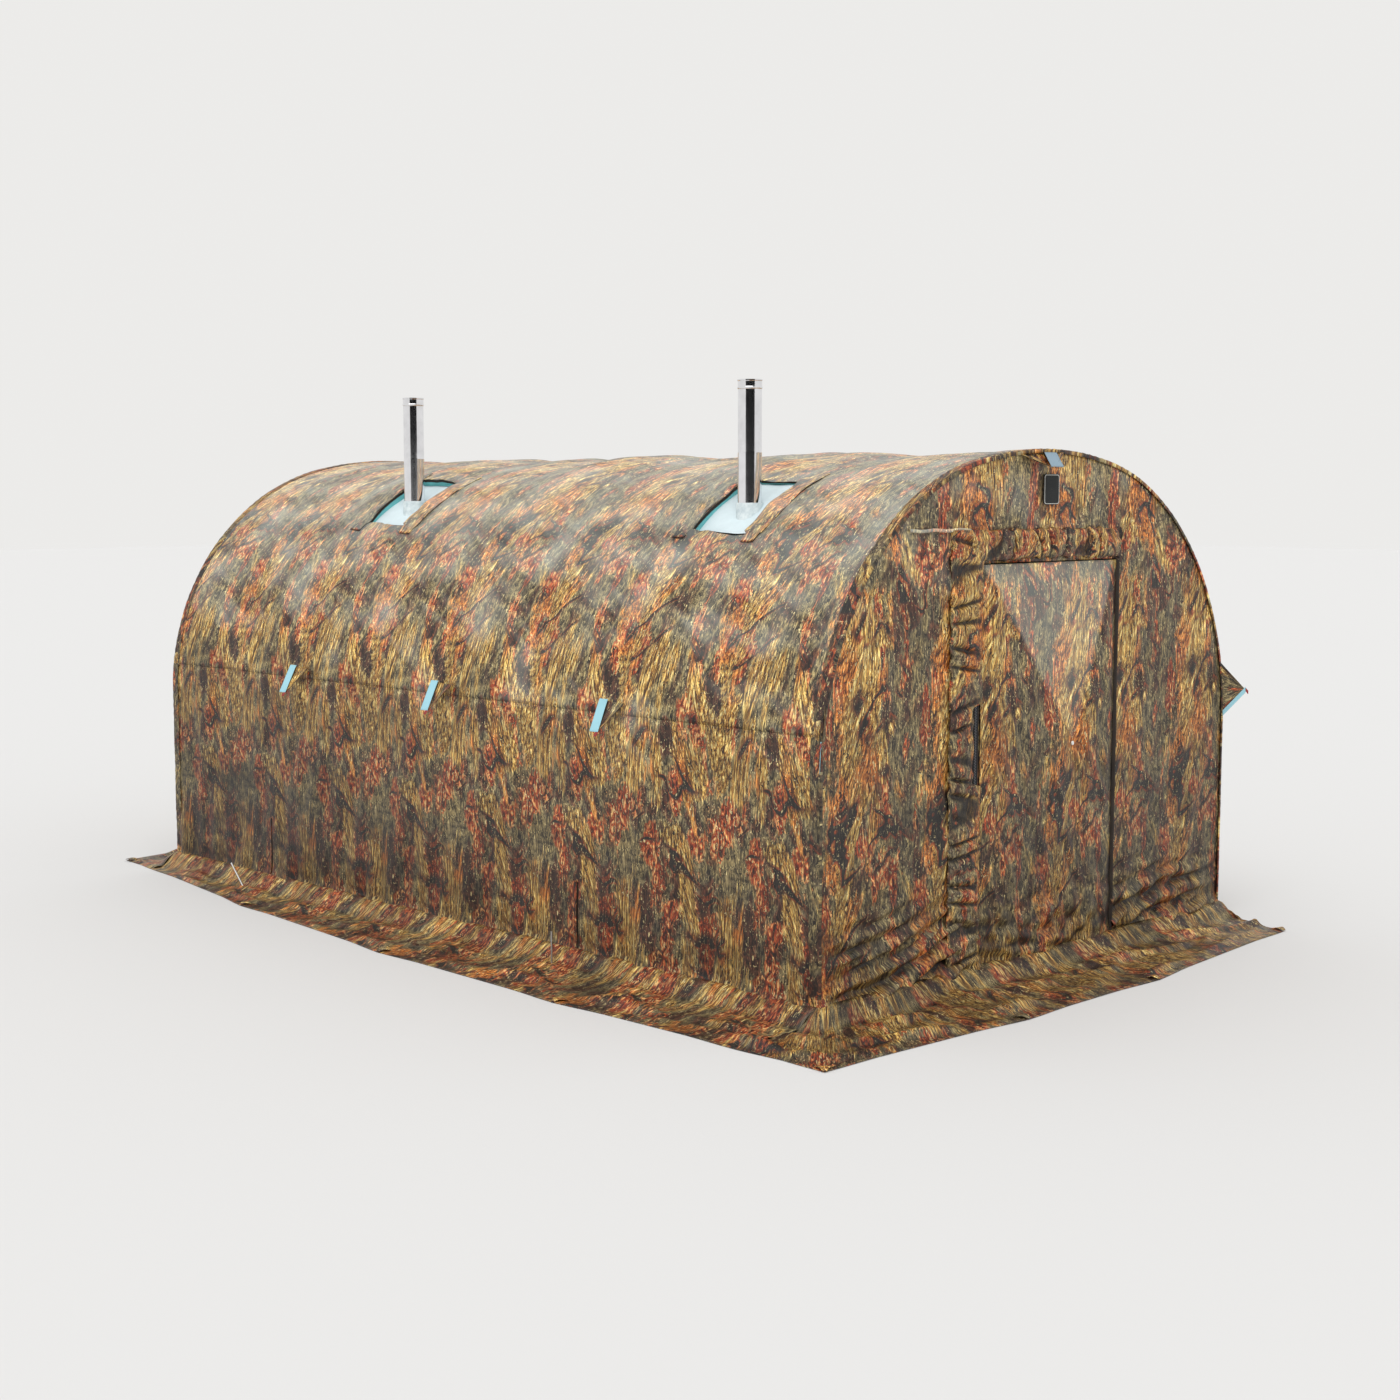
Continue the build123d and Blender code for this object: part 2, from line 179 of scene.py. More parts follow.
def cut_box(piece, low, high):
    """Cuts a clean rectangular opening, straight along any axis with an endless range."""
    mesh = bmesh.new()
    mesh.from_mesh(piece.data)
    for axis in range(3):
        for limit in (low[axis], high[axis]):
            if limit is None:
                continue
            centre, normal = Vector(), Vector()
            centre[axis], normal[axis] = limit, 1
            near = [f for f in mesh.faces if box_touches(f, low, high)]
            edges = {e for f in near for e in f.edges}
            verts = {v for f in near for v in f.verts}
            geometry = near + list(edges) + list(verts)
            bmesh.ops.bisect_plane(mesh, geom=geometry, plane_co=centre, plane_no=normal)
    inside = [f for f in mesh.faces if box_holds(f.calc_center_median(), low, high)]
    bmesh.ops.delete(mesh, geom=inside, context="FACES")
    mesh.to_mesh(piece.data)
    mesh.free()


def box_touches(face, low, high, margin=0.05):
    centre = face.calc_center_median()
    return all(
        (a is None or centre[i] > a - margin) and (b is None or centre[i] < b + margin)
        for i, (a, b) in enumerate(zip(low, high))
    )


def box_holds(point, low, high):
    return all(
        (a is None or point[i] > a) and (b is None or point[i] < b) for i, (a, b) in enumerate(zip(low, high))
    )


def thicken(piece, thickness=CLOTH_T, offset=-1.0):
    modifier = piece.modifiers.new("cloth", "SOLIDIFY")
    modifier.thickness = thickness
    modifier.offset = offset
    return piece


def fold_with_frame(piece):
    """Gives a cloth part of the middle body its own copy of its mesh."""
    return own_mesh(piece)


# ---- shader helper
class Shader:
    """Short ways to add and link the nodes of one material."""

    def __init__(self, name, roughness=0.5, metallic=0.0, specular=0.5):
        self.material = bpy.data.materials.new(name)
        self.material.use_nodes = True
        self.tree = self.material.node_tree
        self.bsdf = self.tree.nodes["Principled BSDF"]
        self.bsdf.inputs["Roughness"].default_value = roughness
        self.bsdf.inputs["Metallic"].default_value = metallic
        self.bsdf.inputs["Specular IOR Level"].default_value = specular

    def feed(self, socket, value):
        if isinstance(value, bpy.types.NodeSocket):
            self.tree.links.new(value, socket)
        elif value is not None:
            socket.default_value = value

    def node(self, kind, values=(), **settings):
        node = self.tree.nodes.new("ShaderNode" + kind)
        for key, value in settings.items():
            setattr(node, key, value)
        for key, value in dict(values).items():
            self.feed(node.inputs[key], value)
        return node

    def math(self, operation, a, b=0.0, c=None, clamp=False):
        return self.node("Math", {0: a, 1: b, 2: c}, operation=operation, use_clamp=clamp).outputs[0]

    def cloth_uv(self):
        return self.node("UVMap", uv_map="cloth").outputs[0]

    def place(self):
        return self.node("TexCoord").outputs["Object"]

    def scaled(self, vector, scale, offset=(0, 0, 0)):
        return self.node("Mapping", {0: vector, 1: offset, 3: scale}).outputs[0]

    def noise(self, vector, scale, detail=2.0, rough=0.5, distortion=0.0):
        values = {"Vector": vector, "Scale": scale, "Detail": detail, "Roughness": rough}
        return self.node("TexNoise", {**values, "Distortion": distortion}).outputs[0]

    def step(self, value, low, high):
        values = {"Value": value, "From Min": low, "From Max": high}
        return self.node("MapRange", values, interpolation_type="SMOOTHSTEP").outputs[0]

    def ramp(self, value, stops, interpolation="LINEAR"):
        node = self.node("ValToRGB", {0: value})
        elements = node.color_ramp.elements
        node.color_ramp.interpolation = interpolation
        while len(elements) < len(stops):
            elements.new(0.5)
        for element, (place, colour) in zip(elements, stops):
            element.position = place
            element.color = (*colour, 1)
        return node.outputs[0]

    def mix(self, factor, a, b, blend="MIX"):
        node = self.node("Mix", {0: factor}, data_type="RGBA", blend_type=blend)
        self.feed(node.inputs[6], a if isinstance(a, bpy.types.NodeSocket) else (*a, 1))
        self.feed(node.inputs[7], b if isinstance(b, bpy.types.NodeSocket) else (*b, 1))
        return node.outputs[2]

    def bump(self, height, distance, strength=1.0, normal=None):
        values = {"Height": height, "Distance": distance, "Strength": strength, "Normal": normal}
        return self.node("Bump", values).outputs[0]

    def done(self, colour=None, normal=None, roughness=None):
        self.feed(self.bsdf.inputs["Base Color"], colour)
        self.feed(self.bsdf.inputs["Normal"], normal)
        self.feed(self.bsdf.inputs["Roughness"], roughness)
        return self.material


# ---- camouflage print
PRINT_REPEAT = 0.58       # the print repeats this often across the roll


def ink(red, green, blue):
    """A printed colour, given as it looks on a screen, as the light it reflects."""
    return tuple(((c / 255 + 0.055) / 1.055) ** 2.4 for c in (red, green, blue))


def camo_print(name, seed=0.0):
    """Reeds, leaves and branches printed on coated cloth; it reads the flat cloth map in metres."""
    sh = Shader(name, roughness=0.46, specular=0.45)
    sh.bsdf.inputs["Coat Weight"].default_value = 0.10
    sh.bsdf.inputs["Coat Roughness"].default_value = 0.38
    uv = sh.node("Mapping", {0: sh.cloth_uv(), 1: (seed, 0.37 * seed, 0)}).outputs[0]
    parts = sh.node("SeparateXYZ", {0: uv}).outputs
    turn = sh.math("MULTIPLY", parts[0], 2 * pi / PRINT_REPEAT)
    radius = PRINT_REPEAT / (2 * pi)
    round_x = sh.math("MULTIPLY", sh.math("COSINE", turn), radius)
    round_y = sh.math("MULTIPLY", sh.math("SINE", turn), radius)
    roll = sh.node("CombineXYZ", {0: round_x, 1: round_y, 2: parts[1]}).outputs[0]

    # muddy ground between the plants
    patches = sh.noise(sh.scaled(roll, (1, 1, 0.5)), 7.5, 2.5, 0.5, 0.4)
    colour = sh.ramp(patches, [
        (0.35, ink(54, 34, 28)), (0.42, ink(88, 58, 48)), (0.46, ink(88, 82, 72)),
        (0.53, ink(122, 112, 86)), (0.58, ink(96, 80, 62)), (0.64, ink(66, 42, 36)),
    ])
    mottle = sh.noise(sh.scaled(roll, (1, 1, 0.5)), 46.0, 3.0, 0.62, 1.8)
    shade = sh.ramp(mottle, [(0.35, (0.20, 0.18, 0.18)), (0.45, (0.80, 0.78, 0.76)), (0.63, (2.3, 2.2, 1.9))])
    colour = sh.mix(1.0, colour, shade, "MULTIPLY")

    # curled rust leaves
    curls = sh.noise(sh.scaled(roll, (1, 1, 0.5), (3.1, 0.7, 1.9)), 30.0, 2.5, 0.55, 2.4)
    leaf = sh.ramp(curls, [
        (0.34, ink(44, 22, 18)), (0.43, ink(116, 44, 24)), (0.50, ink(156, 64, 34)),
        (0.56, ink(188, 96, 52)), (0.66, ink(230, 186, 130)),
    ])
    leaf_place = sh.noise(sh.scaled(roll, (1, 1, 0.42), (1.7, 5.2, 0.4)), 9.5, 2.0)
    ragged = sh.math("MULTIPLY_ADD", curls, 0.30, leaf_place)
    colour = sh.mix(sh.step(ragged, 0.68, 0.72), colour, leaf)
    rusty = sh.step(sh.noise(sh.scaled(roll, (1, 1, 0.5), (5.5, 2.2, 7.0)), 8.0, 2.0), 0.50, 0.62)

    # two layers of reeds, one upright and one leaning
    for lean, shift, place in ((0.10, 0.0, 0.69), (0.42, 2.6, 0.69)):
        tilt = sh.math("MULTIPLY_ADD", parts[1], lean, round_x)
        reed_space = sh.node("CombineXYZ", {0: tilt, 1: round_y, 2: parts[1]}).outputs[0]
        offset = (shift, 2 * shift, shift)
        blades = sh.noise(sh.scaled(reed_space, (1, 1, 0.06), offset), 125.0, 3.0, 0.7, 0.3)
        clump = sh.noise(sh.scaled(reed_space, (1, 1, 0.30), offset), 8.5, 1.5, 0.5)
        bend = sh.math("MULTIPLY_ADD", clump, 2.5, sh.math("MULTIPLY_ADD", parts[1], 4 * lean, turn))
        column = sh.math("COSINE", sh.math("ADD", bend, shift))
        clump = sh.math("MULTIPLY_ADD", column, 0.10, clump)
        reeds = sh.ramp(blades, [
            (0.36, ink(44, 28, 18)), (0.44, ink(118, 78, 36)), (0.50, ink(174, 130, 66)),
            (0.57, ink(212, 178, 104)), (0.66, ink(240, 224, 164)),
        ])
        reeds = sh.mix(rusty, reeds, sh.mix(1.0, reeds, (1.05, 0.58, 0.40), "MULTIPLY"))
        edge = sh.math("MULTIPLY_ADD", blades, 0.26, clump)
        colour = sh.mix(sh.step(edge, place, place + 0.05), colour, reeds)

    # dark forked branches, slanting down to the right, with a warm lit edge
    slant = sh.math("MULTIPLY_ADD", parts[1], 0.9, round_x)
    branch_space = sh.node("CombineXYZ", {0: slant, 1: round_y, 2: parts[1]}).outputs[0]
    wander = sh.noise(sh.scaled(branch_space, (1, 1, 0.35), (6.0, 1.0, 2.0)), 6.0, 2.0, 0.4)
    ridge = sh.math("ABSOLUTE", sh.math("SUBTRACT", wander, 0.52))
    gaps = sh.step(sh.noise(sh.scaled(roll, (1, 1, 1), (9, 2, 4)), 6.0, 1.0), 0.50, 0.60)
    lit = sh.math("MULTIPLY", sh.step(ridge, 0.042, 0.026), gaps)
    bark = sh.math("MULTIPLY", sh.step(ridge, 0.026, 0.018), gaps)
    colour = sh.mix(lit, colour, ink(138, 66, 38))
    colour = sh.mix(bark, colour, ink(42, 36, 34))

    # pale leaf flecks over everything
    flecks = sh.noise(sh.scaled(roll, (1, 1, 0.5), (2, 8, 5)), 70.0, 1.0, 0.5, 2.2)
    colour = sh.mix(sh.step(flecks, 0.645, 0.68), colour, ink(200, 186, 146))
    nicks = sh.noise(sh.scaled(roll, (1, 1, 0.5), (4, 1, 6)), 64.0, 1.0, 0.5, 2.6)
    colour = sh.mix(sh.step(nicks, 0.36, 0.33), colour, ink(34, 24, 20))

    # fine grain, and the warm cast of the ink
    grain = sh.noise(sh.scaled(roll, (1, 1, 0.14), (7, 3, 1)), 150.0, 2.0, 0.7, 0.4)
    speckle = [(0.36, (0.34, 0.31, 0.25)), (0.50, (0.92, 0.88, 0.76)), (0.65, (1.9, 1.84, 1.5))]
    speckle = sh.ramp(grain, speckle)
    colour = sh.mix(1.0, colour, speckle, "MULTIPLY")

    # painted shade and painted light: the per-vertex values darken the colour below 0 and mix it toward a
    # pale grey above 0; random marks ride on both
    weather = sh.node("Attribute", attribute_name="weather").outputs["Fac"]
    painted_shade = sh.math("MULTIPLY", weather, -1.0, clamp=True)
    colour = sh.mix(painted_shade, colour, sh.mix(1.0, colour, (0.06, 0.045, 0.04), "MULTIPLY"))
    # painted light: a pale grey standing in for the sky's sheen on the coated cloth
    painted_light_colour = sh.mix(0.60, sh.mix(1.0, colour, (2.0, 2.0, 2.0), "MULTIPLY"), ink(190, 197, 190))
    colour = sh.mix(sh.math("MAXIMUM", weather, 0.0), colour, painted_light_colour)

    # weave of the cloth and a fine crinkle of its coating
    weave_x = sh.node("TexWave", {"Vector": uv, "Scale": 260.0}, bands_direction="X").outputs[1]
    weave_y = sh.node("TexWave", {"Vector": uv, "Scale": 260.0}, bands_direction="Y").outputs[1]
    weave = sh.bump(sh.math("ADD", weave_x, weave_y), 0.0003, 0.35)
    crinkle = sh.noise(uv, 24.0, 3.0, 0.55)
    normal = sh.bump(crinkle, 0.006, 0.35, weave)
    roughness = sh.math("MULTIPLY_ADD", crinkle, 0.22, 0.38)
    return sh.done(colour, normal, roughness)


def plain_cloth(name, colour, weave=500.0, depth=0.0004, mottling=0.12, roughness=0.7):
    """Woven cloth in one dye, with slight mottling."""
    sh = Shader(name, roughness=roughness, specular=0.3)
    uv = sh.cloth_uv()
    cloud = sh.noise(uv, 9.0, 4.0, 0.6)
    dark = tuple(c * (1 - 2 * mottling) for c in colour)
    pale = tuple(min(1, c * (1 + mottling)) for c in colour)
    shade = sh.ramp(cloud, [(0.3, dark), (0.7, pale)])
    warp = sh.node("TexWave", {"Vector": uv, "Scale": weave}, bands_direction="X").outputs[1]
    weft = sh.node("TexWave", {"Vector": uv, "Scale": weave}, bands_direction="Y").outputs[1]
    threads = sh.bump(sh.math("ADD", warp, weft), depth, 0.5)
    return sh.done(shade, sh.bump(cloud, 0.004, 0.4, threads))


def steel(name, colour, roughness, streak_scale, along=(1, 1, 0.02), streak=0.06):
    """Drawn or rolled metal: fine lines along one direction and faint handling marks."""
    sh = Shader(name, metallic=1.0)
    place = sh.place()
    lines = sh.noise(sh.scaled(place, along), streak_scale, 3.0, 0.6)
    marks = sh.noise(place, 18.0, 4.0, 0.6)
    shade = sh.ramp(marks, [(0.3, tuple(c * 0.86 for c in colour)), (0.7, colour)])
    rough = sh.math("MULTIPLY_ADD", sh.math("ADD", lines, marks), streak, roughness - streak)
    return sh.done(shade, sh.bump(lines, 0.0002, 0.12), rough)


def moulded(name, colour, roughness=0.5, grain=420.0):
    """Moulded plastic or rubber with a fine grain."""
    sh = Shader(name, roughness=roughness)
    place = sh.place()
    grains = sh.noise(place, grain, 2.0)
    scuffs = sh.noise(place, 30.0, 5.0, 0.7)
    dark, pale = tuple(c * 0.8 for c in colour), tuple(min(1, c * 1.3) for c in colour)
    shade = sh.ramp(scuffs, [(0.35, dark), (0.75, pale)])
    return sh.done(shade, sh.bump(grains, 0.0003, 0.3))


CAMO = camo_print("camo_print")
CAMO_WARM = camo_print("camo_print_door_end", seed=3.3)
LINING = plain_cloth("lining_cloth", (0.16, 0.50, 0.52))
JACK = plain_cloth("fireproof_glass_cloth", (0.74, 0.86, 0.90), 180.0, 0.0008, 0.04, 0.6)
TAPE = plain_cloth("blue_tape", (0.36, 0.66, 0.76), weave=320.0, mottling=0.05)
TAPE_GREY = plain_cloth("grey_blue_tape", (0.26, 0.36, 0.44), weave=320.0, mottling=0.05)
RED_CORD = plain_cloth("red_loop", (0.36, 0.05, 0.05), mottling=0.1)
PATCH = plain_cloth("dark_patch", (0.022, 0.024, 0.024), weave=260.0, mottling=0.1)
STITCH = plain_cloth("pale_stitching", (0.62, 0.62, 0.58), mottling=0.1)
ZIP_TAPE = plain_cloth("zip_tape_cloth", (0.012, 0.012, 0.013), weave=420.0, mottling=0.1)
DARK_BINDING = plain_cloth("dark_binding", (0.035, 0.026, 0.020), mottling=0.2)
FLUE = steel("polished_flue", (0.86, 0.86, 0.88), 0.09, 90.0, (1, 1, 0.02), 0.03)
STAKE = steel("stake_steel", (0.58, 0.58, 0.57), 0.32, 300.0)
TUBE = steel("drawn_aluminium", (0.78, 0.79, 0.81), 0.30, 260.0, (1, 0.03, 0.03), 0.08)
HUB = moulded("black_nylon", (0.030, 0.030, 0.032))
COLLAR = moulded("pale_silicone", (0.72, 0.84, 0.88), 0.55)
TOGGLE = moulded("white_button", (0.82, 0.82, 0.78), 0.3)
ZIP_METAL = steel("dark_zip_metal", (0.16, 0.16, 0.17), 0.35, 300.0)

# ---- frame, as it comes from the model
NODE_MATERIALS = [
    (("_poles", "strut_"), TUBE),
    (("_fittings",), HUB),
    (("flue_collar",), COLLAR),
    (("zip_slider",), ZIP_METAL),
    (("door_toggle",), TOGGLE),
    (("stake_",), STAKE),
]
for node_name, node in frame["nodes"].items():
    for keys, material in NODE_MATERIALS:
        if any(key in node_name for key in keys):
            node.data.materials.clear()
            node.data.materials.append(material)
            node.data.shade_smooth()
            node.data.set_sharp_from_angle(angle=radians(35))

# ---- roof and side walls
GRID = 0.02
ROOF_LAP = 0.012          # the roof laps over the side walls


def bay_sag(y):
    """0 at an arch and 1 midway between two arches."""
    return np.sin(pi * (y - ARCH_Y[0]) / BAY) ** 2


def cover_relief(s, y):
    """How far the taut cover stands out from its section."""
    height = np.minimum(s, GIRTH - s)
    free = smooth(height, 0.02, 0.5)
    ends = smooth(np.abs(y), REAR, REAR - 0.25)
    slack = -0.016 * bay_sag(y) * free
    slack = slack + 0.006 * ripples(11, s, y, 0.9, (1.4, 0.8)) * ends
    slack = slack + 0.0030 * ripples(12, s + 0.4 * y, y, 0.28, (1.8, 0.6)) * ends
    slack = slack - 0.0050 * creases(13, s - 0.55 * y, y + 0.3 * s, 0.75, (2.4, 0.5)) * ends
    eave = np.exp(-(((height - EAVE_S) / 0.05) ** 2))
    pucker = 0.003 * np.sin(2 * pi * y / 0.07 + 3 * ripples(14, y, 0 * y, 0.5))
    foot = 1 - smooth(height, 0.0, 0.45)
    folds = 0.010 * ripples(15, y, height * 0.7, 0.22, (1.0, 2.2)) * foot * smooth(height, 0.0, 0.1)
    relief = slack + eave * (0.004 + pucker) + folds + 0.05 * (1 - smooth(height, -0.02, 0.10))
    return np.maximum(relief, -0.018)


def cover_weather(s, y):
    """Painted light over the top, painted shade toward the ground, faint marks along the folds, and painted
    sheen in patches higher up.
    """
    height = np.minimum(s, GIRTH - s)
    # painted light: the top is mixed toward pale grey, a painted sky sheen
    pale = 0.60 * smooth(height, 0.95, 2.4) + 0.05 * ripples(16, s, y, 0.8)
    # painted shade: darker toward the ground and, low on the walls, darker toward the rear end
    painted_shade = -0.30 * (1 - smooth(height, 0.1, 1.0))
    painted_shade = painted_shade - 0.34 * smooth(y, -1.2, 1.6) * (1 - smooth(height, 0.9, 1.5))
    marks = 0.16 * ripples(17, s, y, 0.45, (0.6, 1.6)) + 0.10 * ripples(18, s - 0.6 * y, y, 0.16, (0.5, 2.5))
    # painted sheen in patches on the upper walls
    sheen = 0.20 * np.maximum(0, ripples(19, s + 0.3 * y, y, 0.5, (1.5, 0.8))) * smooth(height, 0.8, 1.3)
    return pale + painted_shade - 0.10 + marks * 0.7 + sheen


def cover_part(name, s_low, s_high, node, lift=0.0):
    s = np.linspace(s_low, s_high, int((s_high - s_low) / GRID) + 2)[:, None]
    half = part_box("roof")[1].y
    y = np.linspace(-half, half, int(2 * half / GRID) + 2)[None, :]
    x, z, nx, nz = section(s)
    out = cover_relief(s, y) + lift
    points = stack(x + out * nx, y, z + out * nz)
    uv = stack(y, np.where(s > GIRTH - EAVE_S - 0.001, GIRTH - s, s))
    piece = grid_piece(name, points, uv, CAMO, ROOT, weather=cover_weather(s, y))
    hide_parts(node)
    return piece


roof = cover_part("roof_cover", EAVE_S - ROOF_LAP, GIRTH - EAVE_S + ROOF_LAP, "roof", lift=0.002)
left_wall = cover_part("left_wall_cover", FOOT_GAP, EAVE_S, "wall_left")
right_wall = cover_part("right_wall_cover", GIRTH - EAVE_S, GIRTH - FOOT_GAP, "wall_right")

# the stove-pipe windows
PIPES = {"front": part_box("flue_pipe_front"), "rear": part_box("flue_pipe_rear")}
PANELS = {end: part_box(f"jack_panel_{end}") for end in PIPES}
PIPE_HOLE = 0.053
PANEL_LAP_X = 0.040
PANEL_LAP_Y = 0.015
WINDOWS = {}
for end, (low, high) in PANELS.items():
    WINDOWS[end] = (low.x + PANEL_LAP_X, high.x - PANEL_LAP_X, low.y + PANEL_LAP_Y, high.y - PANEL_LAP_Y)
    x0, x1, y0, y1 = WINDOWS[end]
    cut_box(roof, (x0, y0, EAVE_Z), (x1, y1, None))

# slits at the foot of the left wall
SLIT_WIDTH = 0.012
SLIT_TOP = 0.36
SLITS = [-0.94, 1.39]
for slit_y in SLITS:
    cut_box(left_wall, (None, slit_y - SLIT_WIDTH / 2, None), (0, slit_y + SLIT_WIDTH / 2, SLIT_TOP))

thicken(roof)
fold_with_frame(roof)
for piece in (left_wall, right_wall):
    thicken(piece)
    fold_with_frame(piece)

# lining, one smooth sheet inside the arches' line
LINING_IN = 0.0215
LINING_FOOT = 0.06
s = np.linspace(LINING_FOOT, GIRTH - LINING_FOOT, 140)[:, None]
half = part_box("lining")[1].y
y = np.linspace(-half, half, 90)[None, :]
x, z, nx, nz = section(s, -LINING_IN)
hang = -0.004 * bay_sag(y) + 0.002 * ripples(21, s, y, 0.5)
points = stack(x + hang * nx, y, z + hang * nz)
lining = grid_piece("lining_cloth", points, stack(y, s), LINING, ROOT)
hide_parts("lining")
for x0, x1, y0, y1 in WINDOWS.values():
    cut_box(lining, (x0, y0, EAVE_Z), (x1, y1, None))
fold_with_frame(lining)

# ---- end walls
DOOR_LOW, DOOR_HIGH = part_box("door")
TAPE_LOW, TAPE_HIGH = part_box("zip_tape")
ZIP_X = (TAPE_LOW.x + TAPE_HIGH.x) / 2


def end_relief(x, z, seed, outward):
    """Outward bulge of an end wall: flat at its edge and along the zip, wrinkled and flared at its foot."""
    edge = smooth(top_height(x) - z, 0.0, 0.25) * smooth(HALF_WIDTH - np.abs(x), 0.0, 0.2)
    bulge = 0.006 * ripples(seed, x, z, 0.8) * edge
    bulge = bulge + 0.0035 * ripples(seed + 1, x - 0.5 * z, z, 0.24, (0.7, 1.6)) * edge
    near_edge = smooth(HALF_WIDTH - np.abs(x), 0.0, 0.25)
    off_zip = smooth(np.abs(x - ZIP_X), 0.03, 0.12) if outward < 0 else 1.0
    foot = 0.018 * foot_folds(x, z, seed) * near_edge
    return (bulge - 0.001) * off_zip + foot + 0.05 * (1 - smooth(z, -0.02, 0.12))


def foot_folds(x, z, seed):
    """Folds that fan out from the lower left corner, where the foot of the wall is pulled to its pegs."""
    foot = (1 - smooth(z, 0.12, 0.48)) * smooth(z, 0.0, 0.05)
    fan = z - 0.13 * (x + HALF_WIDTH) + 0.03 * ripples(seed + 2, x, z, 1.1)
    return foot * (np.sin(2 * pi * fan / 0.085) + 0.7 * ripples(seed + 3, 0.2 * x, fan, 0.05))


def top_height(x):
    """Height of the section above a place x."""
    x = np.minimum(np.abs(x), HALF_WIDTH)
    haunch = HAUNCH_Z + np.sqrt(np.maximum(0, HAUNCH_R**2 - np.maximum(0, x - HAUNCH_X) ** 2))
    crown = CROWN_Z + np.sqrt(CROWN_R**2 - x**2)
    return np.where(x < CROWN_R * cos(SWEEP), crown, haunch)


def end_wall(name, wall_y, outward, node, body, material, seed):
    # closer columns where the top drops steeply to the legs
    low, high = HAUNCH_Z, GIRTH - HAUNCH_Z
    left, right = np.linspace(low, low + 0.2, 12)[:-1], np.linspace(high - 0.2, high, 12)
    s = np.concatenate([left, np.linspace(low + 0.2, high - 0.2, 140)[:-1], right])[:, None]
    share = np.linspace(FOOT_GAP / HEIGHT, 1, 120)[None, :] ** 1.15
    x, top, _, _ = section(s)
    z = share * top
    out = end_relief(x, z, seed, outward)
    points = stack(x, wall_y + outward * out, z)
    uv = stack(x * outward, z)
    piece = grid_piece(name, points, uv, material, body, weather=end_weather(x, z, seed))
    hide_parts(node)
    return piece


def end_weather(x, z, seed):
    """Painted shade toward the ground, toward the right and in the fold valleys at the foot, a little painted
    light under the crown, and faint random marks.
    """
    # painted shade low down and toward the right side, painted light near the crown
    painted_shade = -0.30 * (1 - smooth(z, 0.3, 1.5)) - 0.12 * smooth(x, 0.2, 1.0) + 0.10 * smooth(z, 1.3, 2.1)
    # painted shade in the valleys of the foot folds
    folds = 0.30 * np.minimum(0, foot_folds(x, z, seed))
    marks = 0.12 * ripples(seed + 5, x, z, 0.4, (1.6, 0.7))
    marks = marks + 0.08 * ripples(seed + 6, x - 0.5 * z, z, 0.14, (0.5, 2.2))
    return painted_shade + folds + marks - 0.07


front = end_wall("door_end_cover", FRONT + 0.002, -1, "front_wall", "arch_1", CAMO_WARM, 31)
DOOR_LAP = 0.004
cut_box(
    front,
    (DOOR_LOW.x - DOOR_LAP, None, DOOR_LOW.z - DOOR_LAP),
    (DOOR_HIGH.x + DOOR_LAP, None, DOOR_HIGH.z + DOOR_LAP),
)
rear = end_wall("closed_end_cover", REAR - 0.002, 1, "rear_wall", "arch_5", CAMO, 41)
END_AREA = 5.37           # inside the section's outline, in square metres
DOOR_AREA = (DOOR_HIGH.x - DOOR_LOW.x) * (DOOR_HIGH.z - DOOR_LOW.z)
for piece, area in ((front, END_AREA - DOOR_AREA), (rear, END_AREA)):
    thicken(piece, offset=0.0)

# hems that lap over the roof and side walls at both ends
for name, wall_y, outward, body in (("front_hem", FRONT, -1, "arch_1"), ("rear_hem", REAR, 1, "arch_5")):
    s = np.linspace(0.03, GIRTH - 0.03, 260)[:, None]
    inward = np.array([[0.046, 0.040, 0.010, 0.000, -0.006, -0.006]])
    lift = np.array([[0.0035, 0.0050, 0.0050, 0.0060, 0.0010, -0.012]])
    wave = 0.0010 * np.sin(2 * pi * s / 0.05) + 0.0008 * ripples(51, s, 0 * s, 0.3)
    x, z, nx, nz = section(s)
    out = lift + wave
    points = stack(x + out * nx, wall_y - outward * inward, z + out * nz)
    uv = stack(inward + 0.31, s)
    hem = grid_piece(name, points, uv, CAMO_WARM, body, weather=np.full(points.shape[:2], -0.35))
    thicken(hem, 0.001)

# ---- ground skirts
def straight_out(wall_x, places):
    """Stations of a side skirt, whose sewn point and peg point share one y."""
    return [((wall_x, y), (edge_x, y)) for edge_x, y in places]


# each station is the sewn point and the point on the skirt's edge, as x and y
SKIRT_STATIONS = {
    "left": straight_out(-1.4, (
        (-1.835, -2.299), (-1.87, -1.33), (-1.85, -0.14), (-1.74, 1.14), (-1.565, 2.299),
    )),
    "right": straight_out(1.4, (
        (1.70, 2.299), (1.74, 1.14), (1.85, -0.14), (1.87, -1.33), (1.86, -1.6), (1.42, -2.299),
    )),
    "front": [
        ((1.4, -2.301), (1.42, -2.301)), ((1.4, -2.301), (1.33, -2.69)),
        ((0.14, -2.301), (0.14, -2.795)), ((-0.75, -2.301), (-0.75, -2.79)),
        ((-1.4, -2.301), (-1.82, -2.71)), ((-1.4, -2.301), (-1.835, -2.301)),
    ],
    "rear": [
        ((-1.4, 2.301), (-1.565, 2.301)), ((-1.4, 2.301), (-1.53, 2.62)), ((-0.75, 2.301), (-0.75, 2.78)),
        ((0.14, 2.301), (0.14, 2.795)), ((1.33, 2.301), (1.33, 2.79)), ((1.4, 2.301), (1.76, 2.70)),
        ((1.4, 2.301), (1.70, 2.301)),
    ],
}
SKIRT_BODY = {"left": ROOT, "right": ROOT, "front": "arch_1", "rear": "arch_5"}
SKIRT_UP = 0.075         # the skirt is sewn to the wall at this height
LOOP_OUT = 0.045


